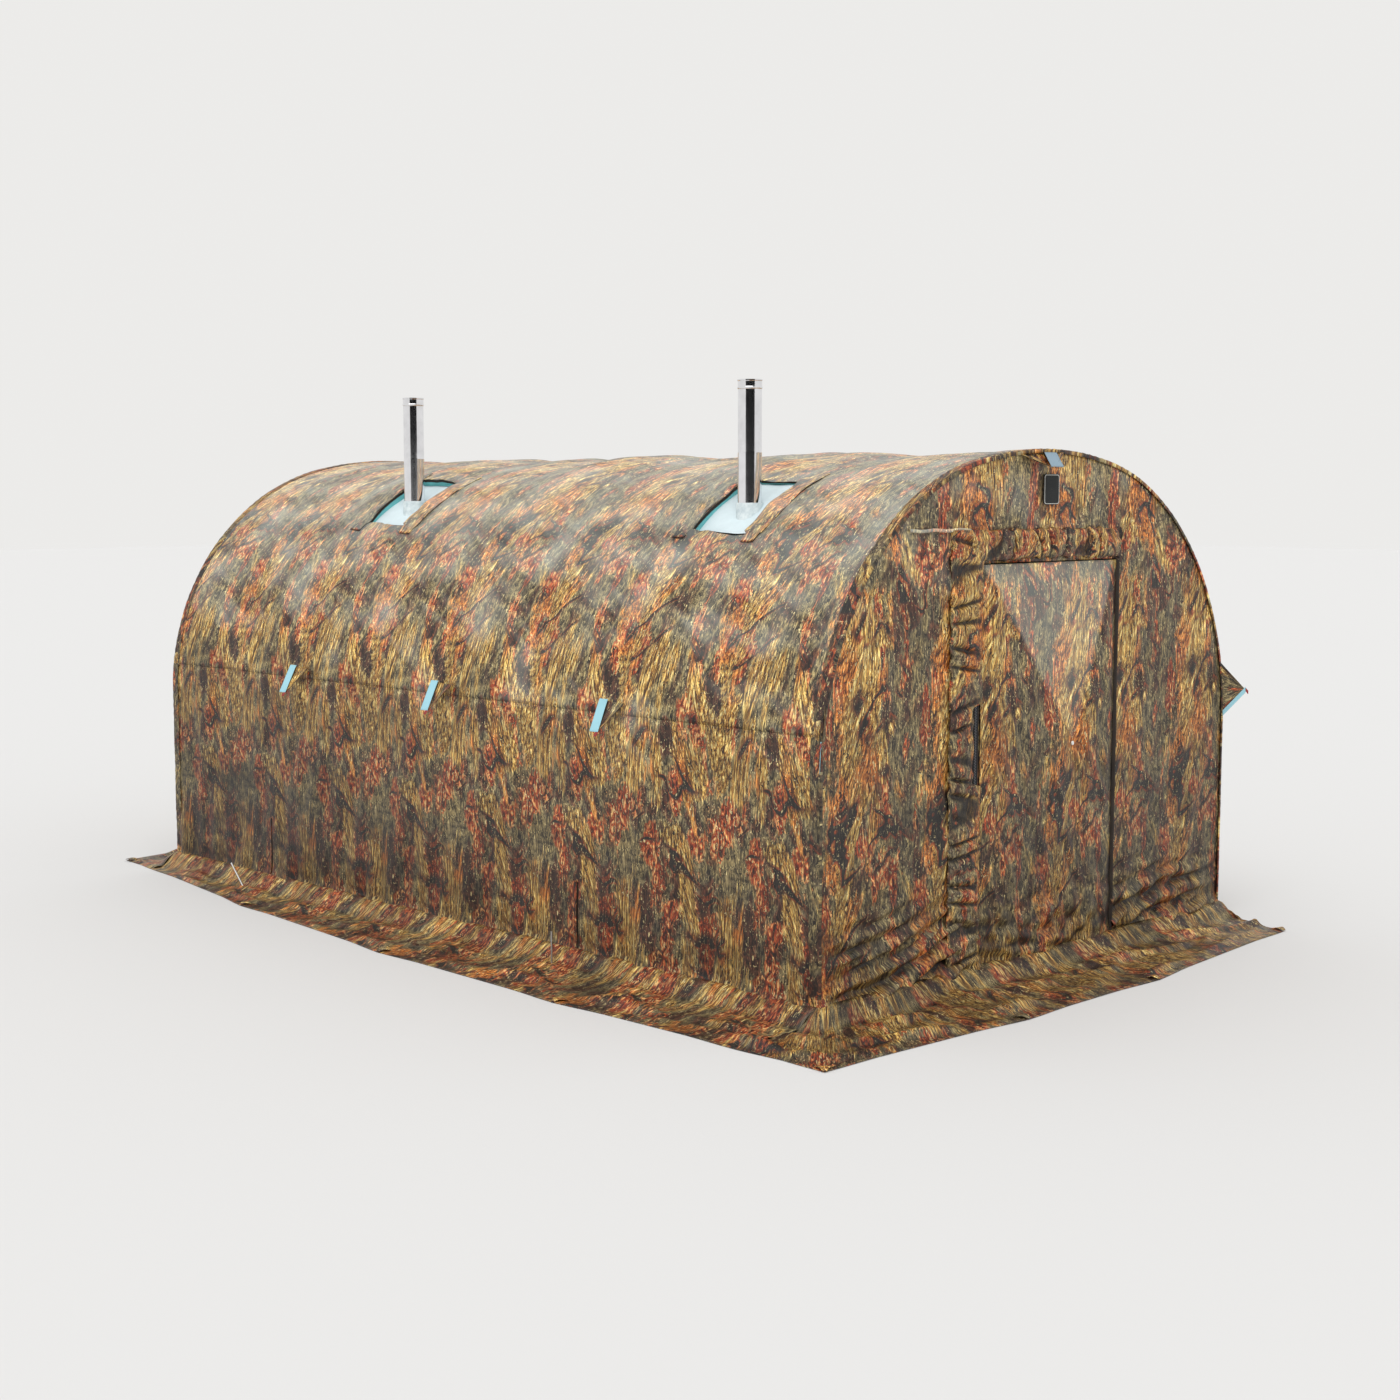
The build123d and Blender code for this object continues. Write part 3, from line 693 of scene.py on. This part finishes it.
def skirt_piece(side, stations):
    inner = np.array([a for a, _ in stations])
    outer = np.array([b for _, b in stations])
    steps = np.linalg.norm(np.diff(outer, axis=0), axis=1)
    place = np.concatenate([[0], np.cumsum(steps)])
    t = np.unique(np.concatenate([np.arange(0, place[-1], 0.022), place]))
    start = np.stack([np.interp(t, place, inner[:, i]) for i in (0, 1)], -1)
    end = np.stack([np.interp(t, place, outer[:, i]) for i in (0, 1)], -1)
    # between two pegs the edge draws in a little
    peg_gap = np.array([np.abs(place - v).min() for v in t])
    reach = end - start
    length = np.maximum(np.linalg.norm(reach, axis=1), 1e-6)[:, None]
    draw = np.minimum(0.014 * smooth(peg_gap, 0, 0.3)[:, None], 0.2 * length)
    end = end - reach / length * draw
    share = np.linspace(0, 1, 26)[None, :, None]
    flat = start[:, None, :] + (end - start)[:, None, :] * share
    w = share[..., 0]
    distance = w * length
    up = SKIRT_UP * (1 - smooth(distance, 0.0, 0.12))
    lift = np.minimum(1, length / 0.15)
    folds = 0.016 * np.maximum(0, ripples(61 + len(side), t[:, None], distance * 2.0, 0.40, (1.6, 0.8)))
    folds = folds + 0.010 * creases(67, t[:, None] - 0.8 * distance, distance, 0.36, (1.4, 0.8))
    z = 0.0035 + up + folds * smooth(distance, 0.02, 0.1) * smooth(w, 1.0, 0.8) * lift
    points = np.concatenate([flat, z[..., None]], -1)
    uv = stack(t[:, None], -distance)
    material = CAMO_WARM if side == "front" else CAMO
    # painted shade: darker overall and more at the door end, with painted light on the fold crests, painted
    # shade in the valleys, and random marks
    painted_shade = (-0.52 if side == "front" else -0.38) + 9.0 * (folds - 0.006)
    painted_shade = painted_shade + 0.15 * ripples(68, t[:, None], distance, 0.5)
    painted_shade = np.clip(painted_shade, -0.75, 0.1)[:, ::-1]
    body = SKIRT_BODY[side]
    piece = grid_piece(f"{side}_skirt_cloth", points[:, ::-1], uv[:, ::-1], material, body, weather=painted_shade)
    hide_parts(f"skirt_{side}")
    thicken(piece)
    if body == ROOT:
        fold_with_frame(piece)
    return piece


for side, stations in SKIRT_STATIONS.items():
    skirt_piece(side, stations)


def peg_loop(name, tip, direction, body):
    """A folded triangle of cloth on the skirt's edge."""
    along = Vector((-direction.y, direction.x, 0)) * 0.035
    base = tip - direction * 0.03
    rows = []
    for share in np.linspace(0, 1, 6):
        half_width = along * (1 - 0.8 * share)
        rise = Vector((0, 0, 0.006 + 0.008 * sin(pi * share)))
        centre = base + direction * (0.03 + LOOP_OUT * 0.5) * share + rise
        rows.append([tuple(centre + half_width * k) for k in (-1, -0.4, 0.4, 1)])
    points = np.array(rows)
    piece = thicken(grid_piece(name, points, points[..., :2], CAMO_WARM, body), 0.002)
    return piece


number = 0
for side, stations in SKIRT_STATIONS.items():
    for (ix, iy), (ox, oy) in stations[1:-1]:
        number += 1
        direction = (Vector((ox, oy, 0)) - Vector((ix, iy, 0))).normalized()
        body = SKIRT_BODY[side]
        loop = peg_loop(f"peg_loop_{number}", Vector((ox, oy, 0)) - direction * 0.02, direction, body)
        if body == ROOT:
            fold_with_frame(loop)

# ---- door
x = np.linspace(DOOR_LOW.x, DOOR_HIGH.x, 70)[:, None]
z = np.linspace(DOOR_LOW.z, DOOR_HIGH.z, 110)[None, :]
TOGGLE_LOW, TOGGLE_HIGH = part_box("door_toggle")
toggle_x, toggle_z = (TOGGLE_LOW.x + TOGGLE_HIGH.x) / 2, (TOGGLE_LOW.z + TOGGLE_HIGH.z) / 2
rise = (z - toggle_z) / (DOOR_HIGH.z - toggle_z)
left_line = toggle_x - 0.64 * rise
right_line = toggle_x + 0.27 * rise
in_facet = smooth(x - left_line, -0.02, 0.02) * smooth(right_line - x, -0.02, 0.02)
in_facet = in_facet * smooth(rise, 0.0, 0.03)
edge = smooth(x - DOOR_LOW.x, 0, 0.08) * smooth(DOOR_HIGH.x - x, 0, 0.08) * smooth(DOOR_HIGH.z - z, 0, 0.12)
soft = 0.016 + 0.007 * ripples(71, x, z, 0.5, (0.6, 1.5))
soft = soft + 0.004 * ripples(72, x + 0.5 * z, z, 0.2, (0.5, 1.8))
facet = 0.002 + 0.020 * np.clip(rise, 0, 1)
foot = (1 - smooth(z, 0.1, 0.5)) * 0.010 * ripples(73, 0.4 * x, z, 0.09)
held = smooth(np.hypot(x - toggle_x, z - toggle_z), 0.012, 0.10)
out = edge * held * (soft * (1 - in_facet) + facet * in_facet) + foot
points = stack(x, FRONT - 0.001 - np.maximum(out, 0), z)
uv = stack(-x + 0.2, z)
# painted highlight on the up-tilted facet above the toggle
painted_facet_highlight = in_facet * (0.26 + 0.20 * smooth(rise, 0.1, 0.7))
# painted shade: the end wall's painted light, shade and marks off the facet, and a painted shadow along the
# door's hinge edge
painted_shade = end_weather(x, z, 31) * (1 - in_facet) - 0.06 - 0.5 * (1 - smooth(DOOR_HIGH.x - x, 0.0, 0.03))
door = grid_piece("door_cloth", points, uv, CAMO_WARM, "door", weather=painted_facet_highlight + painted_shade)
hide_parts("door")
thicken(door)

# dark strip down the hinge edge of the doorway, a painted shadow of the gap there
rows = []
for z_value in np.linspace(DOOR_LOW.z, DOOR_HIGH.z, 60):
    wave = 0.0015 * sin(9 * z_value)
    rows.append([(DOOR_HIGH.x + dx + wave, FRONT - dy, z_value) for dx, dy in
                 ((-0.002, 0.001), (0.004, 0.011), (0.012, 0.012), (0.020, 0.001))])
hinge_gap_shadow = front_strip("door_hinge_gap_shadow", rows, DARK_BINDING)

# ---- gathered storm flap
FLAP_LOW, FLAP_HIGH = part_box("storm_flap")


def gathered_band(name, low, high, upright, pitch, seed, depth=0.024):
    """A band of cloth gathered along its long edges. It puffs out between deep puckers."""
    long_axis = np.linspace(low[1 if upright else 0], high[1 if upright else 0], 420)[:, None]
    across = np.linspace(0, 1, 26)[None, :]
    rng = np.random.default_rng(seed)
    phase = long_axis / pitch + 0.35 * ripples(seed + 1, long_axis, 0 * long_axis, 0.3)
    slant = 0.5 * np.sin(2 * pi * long_axis / 0.5 + rng.uniform(0, 6)) * (across - 0.5)
    fold_shape = np.abs(np.sin(pi * (phase + slant)))
    puff = np.sin(pi * across) ** 0.4
    out = 0.003 + depth * puff * (0.05 + 0.95 * smooth(fold_shape, 0.05, 0.75))
    out = out + 0.003 * ripples(seed + 2, long_axis, across * 0.15, 0.05) * puff
    edge_wave = 0.005 * np.sin(2 * pi * phase) * (2 * across - 1)
    short_low, short_high = (low[0], high[0]) if upright else (low[1], high[1])
    middle = np.sin(pi * (long_axis - long_axis[0]) / (long_axis[-1] - long_axis[0]))
    bow = (0 if upright else 0.014) * middle * (1 - across)
    if upright:
        # the zip shows through a gap beside the handle height
        seen = smooth(long_axis, 0.81, 0.83) * (1 - smooth(long_axis, 1.13, 1.15))
        short_high = short_high - (TAPE_HIGH.x - TAPE_LOW.x + 0.006) * seen
        out = np.maximum(out, 0.011 * smooth(across, 0.6, 0.8))
    short_axis = short_low + (short_high - short_low) * across + edge_wave + bow
    bx, bz = (short_axis, long_axis) if upright else (long_axis, short_axis)
    points = stack(bx, FRONT - out, bz)
    uv = stack(bx * 1.4, bz * 1.4)
    # painted shade in the valleys between the puckers, with faint random marks
    shade = -0.97 * (1 - smooth(fold_shape, 0.12, 0.50)) * np.clip(puff * 1.4, 0, 1)
    shade = shade + 0.25 * ripples(seed + 4, long_axis, across * 0.2, 0.06) * 0.15 - 0.10
    piece = grid_piece(name, points, uv, CAMO_WARM, "arch_1", weather=np.clip(shade, -0.95, 0.15))
    thicken(piece, offset=0.0)
    return piece


flap_top = DOOR_HIGH.z + 0.006
top_band = gathered_band(
    "storm_flap_over_door", (FLAP_LOW.x + 0.13, flap_top), (FLAP_HIGH.x, FLAP_HIGH.z), False, 0.125, 81
)
side_band = gathered_band(
    "storm_flap_beside_door", (FLAP_LOW.x + 0.04, FLAP_LOW.z), (TAPE_HIGH.x + 0.003, FLAP_HIGH.z),
    True, 0.105, 86, 0.020,
)
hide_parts("storm_flap")
for band in (top_band, side_band):
    size = band.dimensions
    long_side, cut_width = max(size.x, size.z), min(size.x, size.z) * 1.05
    # worked back from the band's own mesh, because the photo doesn't show how much cloth is gathered
    area = sum(p.area for p in band.data.polygons)
    max(area / cut_width, long_side)

rows = []
for x_value in np.linspace(FLAP_LOW.x - 0.22, FLAP_LOW.x + 0.16, 30):
    wave = 0.002 * sin(40 * x_value)
    rows.append([(x_value, FRONT - out, FLAP_HIGH.z + dz + wave) for dz, out in
                 ((-0.007, 0.004), (-0.005, 0.009), (0.005, 0.009), (0.007, 0.004))])
flap_seam = front_strip("flap_seam", rows, CAMO_WARM, weather=np.full((30, 4), 0.75))

# ---- zip
zip_bottom, zip_top = TAPE_LOW.z, TAPE_HIGH.z
TAPE_PROFILE = ((0, 0.0005), (0.05, 0.002), (0.4, 0.0022), (0.6, 0.0022), (0.95, 0.002), (1, 0.0005))
rows = [
    [(TAPE_LOW.x + (TAPE_HIGH.x - TAPE_LOW.x) * k, FRONT - d, z_value) for k, d in TAPE_PROFILE]
    for z_value in np.linspace(zip_bottom, zip_top, 200)
]
tape = front_strip("zip_tape_cloth", rows, ZIP_TAPE)
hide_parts("zip_tape")
verts, faces, uvs = [], [], []
TOOTH = 0.0055
for index in range(int((zip_top - zip_bottom) / (2 * TOOTH))):
    for side in (-1, 1):
        base_z = zip_bottom + (2 * index + (side > 0)) * TOOTH
        x0 = ZIP_X + side * 0.0026 - 0.0036
        start = len(verts)
        for dz in (0, TOOTH * 0.8):
            for dx, dy in ((0, 0.002), (0.0072, 0.002), (0.0058, 0.0042), (0.0014, 0.0042)):
                verts.append((x0 + dx, FRONT - dy, base_z + dz))
                uvs.append((x0 + dx, base_z + dz))
        for k in range(4):
            faces.append((start + k, start + (k + 1) % 4, start + 4 + (k + 1) % 4, start + 4 + k))
        faces.append((start + 3, start + 2, start + 1, start))
        faces.append((start + 4, start + 5, start + 6, start + 7))
teeth = make_piece("zip_teeth", verts, faces, uvs, ZIP_METAL, "arch_1", smooth_faces=False)

# ---- plain patch over the door
PATCH_LOW, PATCH_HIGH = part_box("blank_patch")


def rounded_outline(low, high, radius, steps=8):
    """Points round a rectangle with round corners, in x and z."""
    corners = [(high[0] - radius, high[1] - radius, 0), (low[0] + radius, high[1] - radius, 90),
               (low[0] + radius, low[1] + radius, 180), (high[0] - radius, low[1] + radius, 270)]
    return [
        (cx + radius * cos(radians(a + 90 * k / steps)), cz + radius * sin(radians(a + 90 * k / steps)))
        for cx, cz, a in corners
        for k in range(steps + 1)
    ]


outline = rounded_outline((PATCH_LOW.x, PATCH_LOW.z), (PATCH_HIGH.x, PATCH_HIGH.z), 0.012)
cx, cz = (PATCH_LOW.x + PATCH_HIGH.x) / 2, (PATCH_LOW.z + PATCH_HIGH.z) / 2


def patch_rings(rings):
    """The patch's outline shrunk by each share and lifted off the wall by each depth."""
    return [
        [(cx + (px - cx) * k, FRONT - d - 0.008, cz + (pz - cz) * k) for px, pz in outline]
        for k, d in rings
    ]


rings = patch_rings(((1.0, 0.0005), (1.0, 0.0035), (0.93, 0.0045), (0.5, 0.0042), (0.02, 0.0042)))
patch = front_strip("plain_patch", rings, PATCH, closed=True)
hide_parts("blank_patch")
rings = patch_rings(((0.965, 0.0040), (0.955, 0.0058), (0.925, 0.0058), (0.915, 0.0040)))
border = front_strip("patch_stitching", rings, STITCH, closed=True)

# ---- guy-out flaps
def cloth_triangle(name, a, b, tip, material, body, bow=0.008, seed=0):
    """A triangle of cloth from a sewn edge a-b to its tip, bowed a little."""
    a, b, tip = Vector(a), Vector(b), Vector(tip)
    normal = (b - a).cross(tip - a).normalized()
    rows = []
    for v in np.linspace(0, 1, 9):
        row = []
        for u in np.linspace(0, 1, 9):
            place = (a + (b - a) * u) * (1 - v * 0.97) + tip * v * 0.97
            row.append(tuple(place + normal * bow * sin(pi * u) * sin(pi * min(v + 0.1, 1))))
        rows.append(row)
    points = np.array(rows)
    across = np.linspace(0, (b - a).length, 9)
    uv = stack(across + seed, np.linspace(1.1, 0.98, 9)[:, None])
    # painted shadow along the two free edges of the triangle
    shade = np.tile(np.array([-0.6, -0.2, -0.1, 0, 0, 0, -0.1, -0.3, -0.9]), (9, 1))
    piece = thicken(grid_piece(name, points, uv, material, body, weather=shade), 0.002, 0.0)
    return piece


def tape_strip(name, start, end, width_vector, body, material=TAPE, lift=0.003):
    """A flat tape from start to end, folded under at its far end."""
    start, end, width = Vector(start), Vector(end), Vector(width_vector)
    normal = (end - start).cross(width).normalized() * lift
    rows = []
    for v, raise_by in ((0, 0.3), (0.03, 1.0), (0.35, 1.15), (0.7, 1.0), (0.97, 1.2), (1.0, 0.5)):
        centre = start + (end - start) * v + normal * raise_by
        rows.append([tuple(centre + width * k) for k in (-0.5, -0.42, 0, 0.42, 0.5)])
    points = np.array(rows)
    span = (end - start).length
    uv = np.stack(np.meshgrid(np.linspace(0, width.length, 5), np.linspace(0, span, 6)), -1)
    piece = thicken(grid_piece(name, points, uv, material, body), 0.0018, 0.0)
    return piece


ARCH_BODY = {2: "arch_2", 3: ROOT, 4: "arch_4"}
SIDES = (("left", -1), ("right", 1))
for n, body in ARCH_BODY.items():
    low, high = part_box(f"guy_flaps_{n}")
    for side, sign in SIDES:
        wall_x = sign * (HALF_WIDTH + 0.002)
        tip = Vector((sign * (high.x - 0.004), (low.y + high.y) / 2 + 0.005, low.z + 0.004))
        near, far = (wall_x, high.y, high.z + 0.004), (wall_x, low.y, high.z)
        piece = cloth_triangle(f"guy_flap_{side}_{n}", near, far, tip, CAMO, body, seed=0.13 * n)
        if side == "left":
            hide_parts(f"guy_flaps_{n}")
        start = Vector((wall_x, high.y + 0.020, high.z + 0.010))
        tape_strip(f"guy_tape_{side}_{n}", start, tip + Vector((0, 0.020, 0)), (0, 0.050 * sign, 0), body)
        loop_end = tip + Vector((sign * 0.012, 0, -0.016))
        tape_strip(f"guy_loop_{side}_{n}", tip, loop_end, (0, 0.014 * sign, 0), body, RED_CORD)

# the corner flaps of the door end stand out diagonally, with the tape along their lower edge
low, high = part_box("guy_flaps_1")
upper_x = HAUNCH_X + sqrt(HAUNCH_R**2 - (high.z - HAUNCH_Z) ** 2)
for side, sign in SIDES:
    lower = (sign * (HALF_WIDTH - 0.002), FRONT - 0.004, low.z)
    upper = (sign * (upper_x - 0.002), FRONT - 0.004, high.z)
    tip = Vector((sign * (high.x - 0.003), low.y + 0.003, (low.z + high.z) / 2 - 0.010))
    piece = cloth_triangle(f"guy_flap_{side}_1", lower, upper, tip, CAMO_WARM, "arch_1", seed=0.2)
    if side == "left":
        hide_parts("guy_flaps_1")
    tape_strip(f"guy_tape_{side}_1", lower, tip, (0, 0, 0.026), "arch_1")
    loop_end = tip + Vector((sign * 0.012, -0.006, -0.014))
    tape_strip(f"guy_loop_{side}_1", tip, loop_end, (0, 0, 0.016), "arch_1", RED_CORD)

# hood and wide tape at the crown of the door end
HOOD_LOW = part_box("crown_hood")[0]
hood_tip = Vector((-0.10, HOOD_LOW.y + 0.02, HOOD_LOW.z + 0.01))
crown_front = FRONT - 0.004
hood = cloth_triangle(
    "crown_hood_cloth", (-0.20, crown_front, top_height(0.20) - 0.010),
    (0.10, crown_front, HEIGHT - 0.006), hood_tip, CAMO_WARM, "arch_1", bow=0.02, seed=0.4,
)
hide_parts("crown_hood")
tape_strip(
    "crown_tape", (0.02, FRONT + 0.02, HEIGHT + 0.004), hood_tip + Vector((0.03, 0.01, 0.004)),
    (0.085, 0, 0), "arch_1", TAPE_GREY,
)

# ---- stove-pipe windows
RIM_DEPTH = 0.030
PANEL_REACH = 0.03        # the fireproof panel reaches this far past the window, up and down the slope
for end, (x0, x1, y0, y1) in WINDOWS.items():
    panel_body = {"front": "arch_2", "rear": "arch_4"}[end]
    s_low, s_high = haunch_s(x0), haunch_s(x1)
    # turned-in rim: outer cloth first, then the blue-green lining
    s_edge = np.linspace(s_low, s_high, 24)
    y_edge = np.linspace(y0, y1, 14)
    loop_s = np.concatenate([s_edge, np.full(14, s_high), s_edge[::-1], np.full(14, s_low)])
    loop_y = np.concatenate([np.full(24, y0), y_edge, np.full(24, y1), y_edge[::-1]])
    for label, top, bottom, material, slot_name in (
        ("outer", 0.001, -0.012, DARK_BINDING, "camo_fabric"),
        ("lining", -0.010, -RIM_DEPTH, LINING, "lining_fabric"),
    ):
        rows = []
        for out in np.linspace(top, bottom, 4):
            px, pz, _, _ = section(loop_s, out + cover_relief(loop_s, loop_y) * (out > -0.02))
            rows.append(np.stack([px, loop_y, pz], -1))
        points = np.array(rows)
        length = np.concatenate([[0], np.cumsum(np.linalg.norm(np.diff(points[0], axis=0), axis=1))])
        uv = stack(length, np.linspace(0, 0.03, 4)[:, None])
        rim = grid_piece(f"window_rim_{label}_{end}", points, uv, material, ROOT, closed=True)
        fold_with_frame(rim)
    # fireproof panel: a curved sheet below the cover, with a round hole for the pipe
    s = np.linspace(haunch_s(x0 - PANEL_REACH), haunch_s(x1 + PANEL_REACH), 60)[:, None]
    y = np.linspace(y0 - PANEL_LAP_Y, y1 + PANEL_LAP_Y, 50)[None, :]
    out = -0.029 + 0.002 * ripples(91, s, y, 0.25)
    px, pz, _, _ = section(s, out)
    cloth = grid_piece(f"fireproof_panel_{end}", stack(px, y, pz), stack(y, s), JACK, panel_body)
    pipe_low, pipe_high = PIPES[end]
    pipe_at = Vector(((pipe_low.x + pipe_high.x) / 2, (pipe_low.y + pipe_high.y) / 2))
    trim = bmesh.new()
    trim.from_mesh(cloth.data)
    hidden = [f for f in trim.faces if (f.calc_center_median().xy - pipe_at).length < PIPE_HOLE]
    bmesh.ops.delete(trim, geom=hidden, context="FACES")
    trim.to_mesh(cloth.data)
    trim.free()
    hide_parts(f"jack_panel_{end}")
    thicken(cloth)
    flat = sorted((float(abs(s[-1, 0] - s[0, 0])), float(y[0, -1] - y[0, 0])))
    area = flat[0] * flat[1] - pi * PIPE_HOLE**2
    # camouflage strips down both sides, with tab ends past the lower edge
    for label, strip_low, strip_high in (("near", y0 - 0.095, y0 + 0.004), ("far", y1 - 0.004, y1 + 0.095)):
        s = np.linspace(haunch_s(x0) - 0.055, haunch_s(x1) + 0.075, 46)[:, None]
        y = np.linspace(strip_low, strip_high, 12)[None, :]
        tab = smooth(haunch_s(x0) - s, 0.0, 0.008)
        middle = (strip_low + strip_high) / 2
        y = middle + (y - middle) * (1 - 0.30 * tab)
        out = cover_relief(s, y) + 0.006 + 0.003 * ripples(95, s, y, 0.15)
        px, pz, _, _ = section(s, out)
        # painted shadow along the strip's lower end; the cover's painted light, shade and marks carry on over
        # the strip
        painted_edge_shadow = -0.8 * (1 - smooth(s - s[0], 0.0, 0.012))
        pale = cover_weather(s, y) - 0.08 + painted_edge_shadow
        strip = grid_piece(
            f"window_strip_{label}_{end}", stack(px, y, pz), stack(y + 0.2, s), CAMO, ROOT, weather=pale
        )
        thicken(strip, 0.003)
        fold_with_frame(strip)

# ---- flue pipes
BAND_H = 0.036
for end, (low, high) in PIPES.items():
    centre_x, centre_y = (low.x + high.x) / 2, (low.y + high.y) / 2
    band_r = (high.x - low.x) / 2
    pipe_r = band_r - 0.003
    bore_r = pipe_r - 0.001
    top = high.z
    profile = [
        (bore_r, low.z), (pipe_r, low.z), (pipe_r, top - 0.30), (pipe_r + 0.0002, top - 0.298),
        (pipe_r, top - 0.296), (pipe_r, top - BAND_H - 0.004), (band_r - 0.001, top - BAND_H - 0.002),
        (band_r, top - BAND_H + 0.001), (band_r, top - BAND_H + 0.004),
        (band_r - 0.002, top - BAND_H + 0.007), (band_r - 0.002, top - 0.008),
        (band_r, top - 0.005), (band_r, top - 0.001), (band_r - 0.001, top),
        (bore_r + 0.001, top), (bore_r, top - 0.002), (bore_r, low.z),
    ]
    turns = np.linspace(0, 2 * pi, 96, endpoint=False)
    rows = [[(centre_x + r * cos(a), centre_y + r * sin(a), z) for a in turns] for r, z in profile]
    points = np.array(rows)
    uv = stack(turns * pipe_r, points[..., 2])
    pipe = grid_piece(f"flue_section_{end}", points, uv, FLUE, f"flue_pipe_{end}", closed=True)
    pipe.data.set_sharp_from_angle(angle=radians(30))
    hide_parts(f"flue_pipe_{end}")

# ---- slit backings at the foot of the wall
for index, slit_y in enumerate(SLITS):
    z = np.linspace(0.02, SLIT_TOP + 0.03, 20)[:, None]
    y = np.linspace(slit_y - 0.03, slit_y + 0.03, 5)[None, :]
    points = stack(-HALF_WIDTH + 0.006 - 0.03 * (1 - smooth(z, 0, 0.1)), y, z)
    backing = grid_piece(f"slit_backing_{index + 1}", points, points[..., 1:], DARK_BINDING, ROOT)
    fold_with_frame(backing)

# ---- floor, light and camera
SCENE = bpy.context.scene


def studio_sheet(name, corners, paint, colour):
    """A flat sheet of the studio, which isn't part of the object."""
    mesh = bpy.data.meshes.new(name)
    mesh.from_pydata(corners, [], [(0, 1, 2, 3)])
    mesh.materials.append(Shader(paint, roughness=0.9, specular=0.1).done((*colour, 1)))
    sheet = bpy.data.objects.new(name, mesh)
    SCENE.collection.objects.link(sheet)
    return sheet


FLOOR = 60
floor_corners = [(-FLOOR, -FLOOR, 0), (FLOOR, -FLOOR, 0), (FLOOR, FLOOR, 0), (-FLOOR, FLOOR, 0)]
floor = studio_sheet("floor", floor_corners, "pale_floor", (0.70, 0.70, 0.70))

# a dark card round the camera, seen only as the dark line in polished metal
CARD = 8.2
card_corners = [(-CARD, 0, -1), (CARD, 0, -1), (CARD, 0, 1.6), (-CARD, 0, 1.6)]
card = studio_sheet("dark_card", card_corners, "card_black", (0.012, 0.012, 0.013))
card.location = (-7.1, -7.45, 2.0)
card.rotation_euler = (0, 0, radians(-41))
card.visible_camera = card.visible_diffuse = card.visible_shadow = False

world = bpy.data.worlds.new("studio")
SCENE.world = world
world.use_nodes = True
sky = world.node_tree.nodes["Background"]
sky.inputs[0].default_value = (0.840, 0.833, 0.818, 1)
sky.inputs[1].default_value = 1.0


def soft_sun(name, place, power, spread):
    light = bpy.data.lights.new(name, "SUN")
    light.energy = power
    light.angle = radians(spread)
    lamp = bpy.data.objects.new(name, light)
    lamp.rotation_euler = Vector(place).to_track_quat("Z", "Y").to_euler()
    SCENE.collection.objects.link(lamp)


soft_sun("overhead", (-0.45, -0.25, 1.0), 1.0, 50)
soft_sun("key", (-0.7, -0.9, 0.9), 0.45, 20)

camera = bpy.data.cameras.new("camera")
camera.lens = 51.51
camera.sensor_width = 36
viewer = bpy.data.objects.new("camera", camera)
viewer.location = (-6.852, -7.195, 1.987)
viewer.rotation_euler = (radians(90 - 5.914), 0, radians(-44.64))
SCENE.collection.objects.link(viewer)
SCENE.camera = viewer
SCENE.view_settings.view_transform = "Standard"
